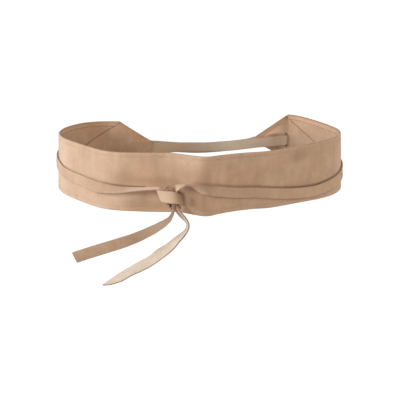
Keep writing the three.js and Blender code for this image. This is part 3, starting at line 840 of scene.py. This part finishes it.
def added(tree, kind, settings=None, inputs=None, output=0):
    """Adds a node with its settings and the values or links of its sockets."""
    node = tree.nodes.new(kind)
    for name, value in (settings or {}).items():
        setattr(node, name, value)
    for key, value in (inputs or {}).items():
        if isinstance(value, Signal):
            tree.links.new(value.socket, node.inputs[key])
        else:
            node.inputs[key].default_value = value
    return Signal(tree, node.outputs[output]) if node.outputs else None


def blended(tree, a, b, share):
    """A mix of two colours, each a signal or a plain colour."""
    settings = {"data_type": "RGBA", "clamp_factor": True}
    a, b = (colour if isinstance(colour, Signal) else (*colour, 1) for colour in (a, b))
    inputs = {MIX_SHARE: share, MIX_A: a, MIX_B: b}
    return added(tree, "ShaderNodeMix", settings, inputs, MIX_COLOUR)


def patterned(tree, where, pattern):
    """Noise in one of the patterns."""
    put = added(tree, "ShaderNodeMapping", None, {"Vector": where, "Scale": pattern.stretch})
    inputs = {
        "Vector": put,
        "Scale": pattern.scale,
        "Detail": pattern.detail,
        "Roughness": pattern.roughness,
    }
    return added(tree, "ShaderNodeTexNoise", None, inputs)


def finish_tree(name):
    """A new material with its emptied node tree."""
    material = bpy.data.materials.new(name)
    material.use_nodes = True
    material.node_tree.nodes.clear()
    return material, material.node_tree


def suede(name, light, dark, cloud=1.0, flush=1.0, sheen=0.25, marks=()):
    """Brushed leather: slow clouds where the nap lies another way, fine grain, and marked places.
    cloud, flush and sheen say how strong its clouds, its rosy places and its sheen are."""
    material, tree = finish_tree(name)
    where = added(tree, "ShaderNodeUVMap", {"uv_map": "leather"})
    clouds = patterned(tree, where, CLOUD_NOISE)
    patches = patterned(tree, where, PATCH_NOISE)
    brushed = patterned(tree, where, BRUSH_NOISE)
    nap = patterned(tree, where, NAP_NOISE)
    grain = patterned(tree, where, GRAIN_NOISE)
    tone = (clouds - 0.5) * (CLOUD_NOISE.tone * cloud)
    tone = tone + (patches - 0.5) * (PATCH_NOISE.tone * cloud)
    tone = tone + (brushed - 0.5) * (BRUSH_NOISE.tone * cloud)
    colour = blended(tree, dark, light, tone + (nap - 0.5) * NAP_NOISE.tone + 0.5)
    rosy = (patterned(tree, where, ROSE_NOISE) - ROSE_FROM) * (ROSE_NOISE.tone * flush)
    colour = blended(tree, colour, [c * tint for c, tint in zip(light, ROSE_TINT)], rosy)
    for mark in marks:
        amount = added(tree, "ShaderNodeAttribute", {"attribute_name": mark.name}, None, "Fac")
        colour = blended(tree, colour, mark.colour, amount * mark.strength)
    height = nap * 0.5 + grain * 0.8 + patches * 0.6
    inputs = {"Strength": 0.4, "Distance": SUEDE_BUMP, "Height": height}
    bump = added(tree, "ShaderNodeBump", None, inputs)
    shader = added(
        tree,
        "ShaderNodeBsdfPrincipled",
        None,
        {
            "Base Color": colour,
            "Roughness": 0.86 + (grain - 0.5) * 0.2,
            "Specular IOR Level": 0.18,
            "Sheen Weight": sheen,
            "Sheen Roughness": 0.55,
            "Sheen Tint": (*SHEEN, 1),
            "Normal": bump,
        },
    )
    added(tree, "ShaderNodeOutputMaterial", None, {"Surface": shader})
    return material


def thread():
    """Twisted sewing thread."""
    material, tree = finish_tree("thread")
    where = added(tree, "ShaderNodeTexCoord", None, None, "Object")
    fibre = patterned(tree, where, FIBRE_NOISE)
    colour = blended(tree, THREAD_DARK, THREAD, fibre)
    inputs = {"Strength": 0.3, "Distance": THREAD_BUMP, "Height": fibre}
    bump = added(tree, "ShaderNodeBump", None, inputs)
    inputs = {"Base Color": colour, "Roughness": 0.6 + fibre * 0.2, "Normal": bump}
    shader = added(tree, "ShaderNodeBsdfPrincipled", None, inputs)
    added(tree, "ShaderNodeOutputMaterial", None, {"Surface": shader})
    return material


# Marks that the finishes read. In a finish, each one lies over those before it.
Mark = namedtuple("Mark", "name colour strength")
# Lighter and darker places, partly nap and partly painted light and shade
NAP_AND_PAINTED_LIGHT_MARKS = [Mark("nap_and_painted_light", NAP_LIGHT_AND_PAINTED_LIGHT, 1.0), Mark("nap_and_painted_shade", NAP_DARK_AND_PAINTED_SHADE, 1.0)]
# Darker rims, stitch lines and seams, with painted shade along the inner rim
EDGE_AND_RIM_SHADE_MARK = Mark("edge", CUT_EDGE_AND_SHADE, 0.4)
# Painted contact shadow above the ties
CONTACT_SHADE_MARK = Mark("painted_contact_shade", CUT_EDGE_AND_SHADE, 0.85)
# Painted shade in small dark spots
SHADE_SPOT_MARK = Mark("hole", SHADE, 1.0)
TIE_EDGE_MARK = Mark("edge", CUT_EDGE_AND_SHADE, 0.3)
OUTER_MARKS = [*NAP_AND_PAINTED_LIGHT_MARKS, EDGE_AND_RIM_SHADE_MARK, Mark("hem", HEM_WARM, 0.5), CONTACT_SHADE_MARK, SHADE_SPOT_MARK]
INNER_MARKS = [*NAP_AND_PAINTED_LIGHT_MARKS, EDGE_AND_RIM_SHADE_MARK, Mark("hem", HEM_WARM, 0.6), SHADE_SPOT_MARK]
TIE_MARKS = [*NAP_AND_PAINTED_LIGHT_MARKS, TIE_EDGE_MARK]
# Browner places of a tie's pale side, partly painted shade
REVERSE_MARKS = [Mark("brown_and_painted_shade", REVERSE_BROWN_AND_SHADE, 1.0), TIE_EDGE_MARK]

OUTER_SUEDE = suede("outer_suede", OUTER_LIGHT, OUTER_DARK, marks=OUTER_MARKS)
INNER_SUEDE = suede("inner_suede", INNER_LIGHT, INNER_DARK, 1.1, 1.2, 0.15, INNER_MARKS)
TIE_SUEDE = suede("tie_suede", OUTER_LIGHT, OUTER_DARK, 0.9, 0.8, 0.25, TIE_MARKS)
TIE_REVERSE = suede("tie_reverse", REVERSE_LIGHT, REVERSE_DARK, 0.7, 0.1, 0.2, REVERSE_MARKS)
TIE_CUT = suede("tie_cut_edge", TIE_CUT_LIGHT, TIE_CUT_DARK, 0.5, 0, 0.1)
THREAD_FINISH = thread()


# The band's leather


def groove(distance):
    """Depth of the line that the stitches pull in, at a distance from the rim."""
    return GROOVE_DEPTH * clamp(1 - abs(distance - STITCH_INSET) / GROOVE_HALF)


# Distances of the rows of leather from a rim, on the outer face and on the hem
RIM_ROWS = [FOLD, 2.2, 3.2, STITCH_INSET, 5.2, 6.4]
HEM_ROWS = [HEM, 4.2, 3.2, 2.2]


def rim_section():
    """From a hem's cut edge round the fold to the outer face: distance from the rim, and out."""
    rows = [(distance, LINING_IN) for distance in HEM_ROWS]
    for i in range(FOLD_ROWS):
        turn = math.pi * i / (FOLD_ROWS - 1)
        rows.append((FOLD - FOLD * math.sin(turn), FOLD_MIDDLE - FOLD * math.cos(turn)))
    return rows + [(distance, WALL_OUT - groove(distance)) for distance in RIM_ROWS[1:]]


RIM = rim_section()
BAND_ROWS = 2 * len(RIM) + MIDDLE_ROWS


def band_point(at, row):
    """Height and distance out of a row of the band, counted from the lower hem."""
    top, bottom = band_edges(at)
    if row < len(RIM):
        distance, out = RIM[row]
        return bottom + distance, out
    if row >= BAND_ROWS - len(RIM):
        distance, out = RIM[BAND_ROWS - 1 - row]
        return top - distance, out
    share = (row - len(RIM) + 1) / (MIDDLE_ROWS + 1)
    return mixed(bottom + RIM_ROWS[-1], top - RIM_ROWS[-1], share), WALL_OUT


def seam_lines(end):
    """The first stretch of an end's seam, above and below, as lines on the flat leather."""
    stretch = end.seam[:2]
    return [
        [(end.at(row.from_tip), side * (row.half + SEAM_GAP)) for row in stretch] for side in (-1, 1)
    ]


def under_facing(end, centre):
    """Whether a place on the flat leather lies within the seam of an end."""
    from_tip = end.at(centre.x)
    if from_tip > end.seam[-1].from_tip + SEAM_GAP:
        return False
    if from_tip <= end.seam[0].from_tip:
        return True
    return abs(centre.y) < lookup(end.seam, from_tip, "half") + SEAM_GAP


def tie_contact_shade(x, y, z):
    """Painted shade: the dark line of contact shadow on the band just above a tie's upper edge."""
    if z < 0:
        return 0.0
    for rows, contact_shades in ((OVER_TIE_ON_BAND, OVER_TIE_CONTACT_SHADE), (SLIT_TIE_ON_BAND, SLIT_TIE_CONTACT_SHADE)):
        low, high = sorted((rows[0].at, rows[-1].at))
        if low < x < high:
            lean = math.radians(between(rows, x, "lean"))
            above = y - between(rows, x, "up") - TIE_WIDTH / 2 * math.cos(lean)
            line = clamp(CONTACT_SHADE_GAIN * (1 - abs(above - CONTACT_SHADE_ABOVE) / CONTACT_SHADE_HALF))
            return between(contact_shades, x, "strength") * line * math.cos(max(lean, 0)) ** 2
    return 0.0


def spots(rows, sign, x, y):
    """How strongly the lighter, or the darker, places of a table show at one place."""
    total = 0.0
    for row in rows:
        reach = ((x - row.at) / row.along) ** 2 + ((y - row.up) / row.high) ** 2
        total += max(sign * row.tone, 0) * clamp(1 - reach) ** 2
    return clamp(total)


def marked_nap_and_painted_light(piece, outside, inside):
    """Marks the places of two tables that look lighter or darker, partly nap and partly painted light
    and shade, on the two sides of the leather.
    """
    for name, sign in (("nap_and_painted_light", 1), ("nap_and_painted_shade", -1)):
        marked(piece, name, lambda x, y, z: spots(outside if z > 0 else inside, sign, x, y))


def shaded(shade_spots):
    """Painted shade: the mark of a table of small dark spots."""

    def amount(x, y, z):
        inside = max(hole.size - math.hypot(x - hole.at, y - hole.up) for hole in shade_spots)
        return clamp(inside / SHADE_SPOT_FADE)

    return amount


def seam_mark(x, y):
    """Where the seams between the facings and the lining have worn dark."""
    for end in (LEFT_END, RIGHT_END):
        from_tip = end.at(x)
        if end.seam[0].from_tip < from_tip < end.seam[-1].from_tip:
            half = lookup(end.seam, from_tip, "half") + SEAM_GAP / 2
            return SEAM_DARK * clamp(1 - abs(abs(y) - half) / SEAM_WORN)
    return 0.0


def rim_distance(x, y):
    """How far a place on the flat leather lies from the nearer rim."""
    top, bottom = band_edges(clamp(x, 0, BAND_LENGTH))
    return min(top - y, y - bottom)


def rim_mark(x, y, z):
    """Darker at a rim's fold, its stitches and the seams inside, and painted shade along the inner
    rim.
    """
    distance = rim_distance(x, y)
    stitch_line = STITCH_LINE_DARK * clamp(1 - abs(distance - STITCH_INSET))
    rim_dark = max(clamp(1 - distance / RIM_DARK_WIDTH), stitch_line)
    if z > 0:
        return rim_dark
    inner_rim_shade = INNER_RIM_SHADE_DARK * clamp((INNER_RIM_SHADE_WIDTH - distance) / INNER_RIM_SHADE_FADE)
    return max(rim_dark, inner_rim_shade, seam_mark(x, y))


def hem_mark(x, y, z):
    """Where the turned hem shows inside."""
    return clamp((HEM + HEM_BEYOND - rim_distance(x, y)) / HEM_FADE) if z < 0 else 0.0


def band():
    """The wide outer suede, with its rims turned in as hems and its slit."""
    stops = [end.at(edge.from_tip) for end in (LEFT_END, RIGHT_END) for edge in end.outline]
    piece = flat_sheet("band_suede", stations_through(*sorted(stops)), BAND_ROWS, band_point)

    def hem_under_facing(centre):
        hidden = any(under_facing(end, centre) for end in (LEFT_END, RIGHT_END))
        return centre.z < FOLD_MIDDLE and hidden

    cut_away(piece, seam_lines(LEFT_END) + seam_lines(RIGHT_END), hem_under_facing)
    punched(thickened(piece, OUTER_WALL - LAYER_SLACK), SLIT_OUTER)
    mapped(piece, BAND_PATCH)
    # Darker rims and stitch lines, with painted shade along the rim on the hem's inner face
    marked(piece, "edge", rim_mark)
    marked(piece, "hem", hem_mark)
    # Painted contact shadow above the ties
    marked(piece, "painted_contact_shade", tie_contact_shade)
    # Painted shade in the gaps below the knot
    marked(piece, "hole", shaded(KNOT_SHADE_SPOTS))
    # Lighter and darker places, partly nap and partly painted light and shade
    marked_nap_and_painted_light(piece, OUTER_NAP_AND_PAINTED_LIGHT, HEM_PAINTED_SHADE)
    bent(piece, place)
    return settled(piece, [OUTER_SUEDE], "outer_suede", "band_outer")


def seam_half(end, at):
    """Half height of the lining's opening at an end, at a distance along the band."""
    from_tip = end.at(at)
    if from_tip > end.seam[-1].from_tip:
        return 0.0
    return lookup(end.seam, from_tip, "half") + SEAM_GAP


def lining():
    """The inner suede in an upper and a lower half, which meet in the middle between the two seams."""
    reach = HALF_BAND - HEM - LAYER_GAP
    stops = []
    for end in (LEFT_END, RIGHT_END):
        past_point = end.seam[-1].from_tip + 1
        seam = [row.from_tip for row in end.seam if row.from_tip > LINING_FROM]
        stops += [end.at(from_tip) for from_tip in (LINING_FROM, *seam, past_point)]
    columns = stations_through(*sorted(stops))
    halves = []
    for side in (-1, 1):

        def point(at, row, side=side):
            seam = max(seam_half(end, at) for end in (LEFT_END, RIGHT_END))
            share = row / (LINING_ROWS - 1)
            share = share if side > 0 else 1 - share
            return side * mixed(min(seam, reach), reach, share), LINING_IN

        halves.append(flat_sheet("half", columns, LINING_ROWS, point))
    piece = modified(joined("lining_suede", halves), "WELD", merge_threshold=0.01)
    turned_over(piece)
    thickened(piece, INNER_WALL - LINING_SLACK)
    mapped(piece, LINING_PATCH)
    marked(piece, "edge", lambda x, y, z: seam_mark(x, y))
    # Lighter and darker places, partly nap and partly painted light and shade
    marked_nap_and_painted_light(piece, INNER_NAP_AND_PAINTED_LIGHT, INNER_NAP_AND_PAINTED_LIGHT)
    bent(piece, place)
    return settled(piece, [INNER_SUEDE], "inner_suede", "lining_centre")


def facing(name, node, end, patch):
    """The arrow-shaped inner piece of an end, pushed in over the root of its tie."""

    def point(at, row):
        from_tip = end.at(at)
        top, bottom = facing_edges(end, from_tip)
        up = mixed(bottom, top, row / (FACING_ROWS - 1))
        rim = rim_distance(at, up)
        rounded = FACING_ROUND * clamp(1 - rim) ** 2
        pulled = FACING_PULL * groove(rim)
        return up, LINING_IN - root_push(end, from_tip, up) + rounded + pulled

    tips = sorted({row.from_tip for row in [*end.outline[:-1], *end.seam]})
    columns = sorted(stations_through(*[end.at(tip) for tip in tips]))
    piece = flat_sheet(name, columns, FACING_ROWS, point)
    turned_over(piece)
    thickened(piece, INNER_WALL - LAYER_SLACK)
    if end is RIGHT_END:
        punched(piece, SLIT_INNER)
    mapped(piece, patch)
    # Darker rims and stitch lines, with painted shade along the inner rim
    marked(piece, "edge", rim_mark)
    marked(piece, "hem", hem_mark)
    # Painted shade at the ends of the slit
    marked(piece, "hole", shaded(SLIT_SHADE_SPOTS))
    # Lighter and darker places, partly nap and partly painted light and shade
    marked_nap_and_painted_light(piece, (), INNER_NAP_AND_PAINTED_LIGHT)
    bent(piece, place)
    return settled(piece, [INNER_SUEDE], "inner_suede", node)


# The ties

Stop = namedtuple("Stop", "centre side wide")


def between(rows, at, column):
    """A value of a table between its rows, on a smooth curve."""
    order = rows if rows[0].at < rows[-1].at else rows[::-1]
    found = max((i for i, row in enumerate(order) if at >= row.at), default=0)
    i = min(found, len(order) - 2)

    def slope(k):
        a, b = order[max(k - 1, 0)], order[min(k + 1, len(order) - 1)]
        return (getattr(b, column) - getattr(a, column)) / (b.at - a.at)

    span = order[i + 1].at - order[i].at
    t = clamp((at - order[i].at) / span)
    return (
        getattr(order[i], column) * (2 * t**3 - 3 * t**2 + 1)
        + slope(i) * span * (t**3 - 2 * t**2 + t)
        + getattr(order[i + 1], column) * (3 * t**2 - 2 * t**3)
        + slope(i + 1) * span * (t**3 - t**2)
    )


def wall_stop(at, up, out, lean=0.0):
    """A stop of a tie that follows the wall at a given distance out, in millimetres."""
    centre = place(at, up, out)
    wall_up = (place(at, up + 1, out) - place(at, up - 1, out)).normalized()
    wall_out = (place(at, up, out + 1) - centre).normalized()
    angle = math.radians(lean)
    return Stop(centre / MM, wall_up * math.cos(angle) + wall_out * math.sin(angle), TIE_WIDTH)


def on_band(rows):
    """The stops of a tie where it lies on the band, clear of it however far it leans."""
    stops = []
    for at in stations(rows[0].at, rows[-1].at, TIE_STOP_STEP):
        lean = between(rows, at, "lean")
        angle = math.radians(abs(lean))
        reach = TIE_WIDTH / 2 * math.sin(angle) + TIE_WALL / 2 * math.cos(angle)
        stops.append(wall_stop(at, between(rows, at, "up"), WALL_OUT + TIE_GAP + reach, lean))
    return stops


def inside_right_end():
    """The stops of the tie that runs along the inside of the right end to the slit."""
    stops = []
    for at in stations(INSIDE_FROM, INSIDE_TO, TIE_STOP_STEP):
        facing_in = LINING_IN - root_push(RIGHT_END, RIGHT_END.at(at), SLIT_UP)
        stops.append(wall_stop(at, SLIT_UP, facing_in - TIE_GAP - TIE_WALL / 2))
    return stops


def in_air(rows):
    """The stops of a tie where it lies on nothing."""
    stops = []
    for row in rows:
        centre = Vector((row.x, row.y, row.z))
        stops.append(Stop(centre, Vector(row.side).normalized(), row.wide))
    return stops


def root(end):
    """The stops of a tie between the layers of its tip and just past it, where it sags a little."""
    stops = [ROOT_LENGTH, ROOT_LENGTH / 2, 0, -ROOT_STRAIGHT]
    rows = [wall_stop(end.at(from_tip), end.root_up, ROOT_MIDDLE) for from_tip in stops]
    sagged = rows[-1].centre + Vector((0, 0, -ROOT_SAG / 2))
    return [*rows[:-1], rows[-1]._replace(centre=sagged, wide=TIE_WIDTH + ROOT_SAG)]


def eased(a, b, c, d, spans, t):
    """A smooth curve from b to c that also heeds a and d, each span by the root of its length."""
    first, middle, last = spans
    start = (b - a) / first - (c - a) / (first + middle) + (c - b) / middle
    finish = (c - b) / middle - (d - b) / (middle + last) + (d - c) / last
    start, finish = start * middle, finish * middle
    curve = (b - c) * 2 + start + finish
    bend = (c - b) * 3 - start * 2 - finish
    return b + start * t + bend * t**2 + curve * t**3


def tie_path(stops):
    """Closely spaced stops along a tie, on a smooth curve through the given ones."""
    centres = [stop.centre for stop in stops]
    centres = [centres[0] * 2 - centres[1], *centres, centres[-1] * 2 - centres[-2]]
    path = []
    for i, (a, b) in enumerate(zip(stops, stops[1:])):
        four = centres[i : i + 4]
        spans = [max((q - p).length, SHORTEST_SPAN) ** 0.5 for p, q in zip(four, four[1:])]
        count = max(1, math.ceil((b.centre - a.centre).length / TIE_STEP))
        for k in range(count):
            t = k / count
            side = a.side.lerp(b.side, t * t * (3 - 2 * t)).normalized()
            path.append(Stop(eased(*four, spans, t), side, mixed(a.wide, b.wide, t)))
    return [*path, stops[-1]]


def tie(name, node, stops, patch, front, nap, brown_and_painted_shade, pressed):
    """A flat strap, cut straight and then bent along its path. front is 1 where the side that faces
    up on the flat strap was brushed, and -1 where the other side was. The strap is a little crowned,
    except near the distances from its root where it is pressed flat."""
    path = tie_path(stops)
    distances = [0.0]
    for a, b in zip(path, path[1:]):
        distances.append(distances[-1] + (b.centre - a.centre).length)
    overs = []
    for i, stop in enumerate(path):
        along = path[min(i + 1, len(path) - 1)].centre - path[max(i - 1, 0)].centre
        overs.append(along.normalized().cross(stop.side).normalized())

    def point(at, row):
        return TIE_WIDTH * (row / (TIE_ROWS - 1) - 0.5), TIE_WALL / 2

    piece = thickened(flat_sheet(name, distances, TIE_ROWS, point), TIE_WALL, TIE_SOFT_CUT)
    finishes = [TIE_SUEDE, TIE_REVERSE, TIE_CUT]
    for face in piece.data.polygons:
        side = TIE_SUEDE if face.normal.z * front >= 0 else TIE_REVERSE
        finish = TIE_CUT if abs(face.normal.z) < CUT_SLOPE else side
        face.material_index = finishes.index(finish)
    mapped(piece, patch)
    marked(piece, "edge", lambda x, y, z: clamp(1 - (TIE_WIDTH / 2 - abs(y)) / TIE_EDGE_WORN))
    # Lighter and darker places, partly nap and partly painted light and shade
    marked_nap_and_painted_light(piece, nap, nap)
    # Browner places of the pale side, partly painted shade
    marked(piece, "brown_and_painted_shade", lambda x, y, z: spots(brown_and_painted_shade, -1, x, y))

    def put(x, y, z):
        found = min(range(len(distances)), key=lambda i: abs(distances[i] - x))
        stop, over = path[found], overs[found]
        free = min(clamp((abs(x - flat) - PRESSED_REACH) / PRESSED_EASE) for flat in pressed)
        crown = TIE_CROWN * (1 - (2 * y / TIE_WIDTH) ** 2) * free
        return (stop.centre + stop.side * (y * stop.wide / TIE_WIDTH) + over * (z + crown)) * MM

    bent(piece, put)
    return settled(piece, finishes, "tie_suede", node)


# The stitches


def stitch_row(start, end, put):
    """A row of stitches between two distances along the leather."""
    bpy.ops.object.select_all(action="DESELECT")
    lying = (0, math.pi / 2, 0)
    bpy.ops.mesh.primitive_uv_sphere_add(segments=6, ring_count=5, radius=1, rotation=lying)
    row = bpy.context.active_object
    bpy.ops.object.transform_apply(location=True, rotation=True, scale=True)
    bpy.ops.transform.resize(value=(STITCH_LENGTH / 2, STITCH_WIDTH / 2, STITCH_RISE))
    bpy.ops.object.transform_apply(location=True, rotation=True, scale=True)
    count = max(1, int((end - start) / STITCH_PITCH))
    modified(
        row,
        "ARRAY",
        count=count,
        use_relative_offset=False,
        use_constant_offset=True,
        constant_offset_displace=(STITCH_PITCH, 0, 0),
    )
    for vertex in row.data.vertices:
        vertex.co = put(*(vertex.co + Vector((start + STITCH_PITCH / 2, 0, 0))))
    return row


def rim_stitch_rows():
    """Rows along both rims, seen on the outer face and on the inner one."""
    rows = []
    for out in (WALL_OUT - GROOVE_DEPTH + STITCH_PROUD, LINING_IN - STITCH_PROUD):
        for side in (0, 1):

            def put(x, y, z, out=out, side=side):
                edge = band_edges(clamp(x, 0, BAND_LENGTH))[side]
                inset = STITCH_INSET if side else -STITCH_INSET
                return Vector((x, edge + inset + y, out + z))

            rows.append(stitch_row(STITCH_MARGIN, BAND_LENGTH - STITCH_MARGIN, put))
    return rows


def rim_stitches():
    """All the rows as one piece, on the worn belt."""
    piece = joined("rim_stitches", rim_stitch_rows())
    bent(piece, place)
    return settled(piece, [THREAD_FINISH], "outer_suede")


band()
lining()
facing("left_facing_suede", "left_end_facing", LEFT_END, LEFT_FACING_PATCH)
facing("right_facing_suede", "right_end_facing", RIGHT_END, RIGHT_FACING_PATCH)
SLIT_TIE_STOPS = [
    *root(LEFT_END),
    *in_air(SLIT_TIE_BACK),
    *inside_right_end(),
    *[wall_stop(*row) for row in SLIT_TIE_THROUGH],
    *on_band(SLIT_TIE_ON_BAND),
    *in_air(SLIT_TIE_KNOT),
    *in_air(SLIT_TIE_TAIL),
]
OVER_TIE_STOPS = [
    *root(RIGHT_END),
    *in_air(OVER_TIE_BACK),
    *on_band(OVER_TIE_ON_BAND),
    *in_air(OVER_TIE_KNOT),
    *in_air(OVER_TIE_TAIL),
]
tie(
    "slit_tie_suede",
    "slit_tie",
    SLIT_TIE_STOPS,
    patch=SLIT_TIE_PATCH,
    front=-1,
    nap=SLIT_TIE_NAP_AND_PAINTED_LIGHT,
    brown_and_painted_shade=SLIT_TIE_BROWN_AND_PAINTED_SHADE,
    pressed=SLIT_TIE_PRESSED,
)
tie(
    "over_tie_suede",
    "over_tie",
    OVER_TIE_STOPS,
    patch=OVER_TIE_PATCH,
    front=1,
    nap=OVER_TIE_NAP_AND_PAINTED_LIGHT,
    brown_and_painted_shade=OVER_TIE_BROWN_AND_PAINTED_SHADE,
    pressed=OVER_TIE_PRESSED,
)
rim_stitches()


# Floor and light


def area_light(light):
    """A soft square light that points at the belt."""
    data = bpy.data.lights.new(light.name, "AREA")
    data.size = light.size
    data.energy = light.power
    data.color = light.colour
    lamp = bpy.data.objects.new(light.name, data)
    bpy.context.scene.collection.objects.link(lamp)
    lamp.location = light.place_m
    lamp.rotation_mode = "QUATERNION"
    lamp.rotation_quaternion = Vector(light.place_m).to_track_quat("Z", "Y")


def studio():
    """A pale glowing floor, a dim sky and three lights."""
    bpy.ops.object.select_all(action="DESELECT")
    bpy.ops.mesh.primitive_plane_add(size=FLOOR_SIZE, location=(0, 0, FLOOR_UP))
    floor = bpy.context.active_object
    floor.name = "floor"
    material, tree = finish_tree("pale_floor")
    glow = added(tree, "ShaderNodeEmission", None, {"Color": (1, 1, 1, 1), "Strength": FLOOR_GLOW})
    added(tree, "ShaderNodeOutputMaterial", None, {"Surface": glow})
    floor.data.materials.append(material)
    floor.visible_diffuse = False
    floor.visible_glossy = False
    world = bpy.data.worlds.new("studio")
    world.use_nodes = True
    sky = world.node_tree.nodes["Background"].inputs
    sky["Color"].default_value = (*WARM_LIGHT, 1)
    sky["Strength"].default_value = SKY_GLOW
    bpy.context.scene.world = world
    for light in LIGHTS:
        area_light(light)
    bpy.context.scene.view_settings.view_transform = "Standard"


studio()
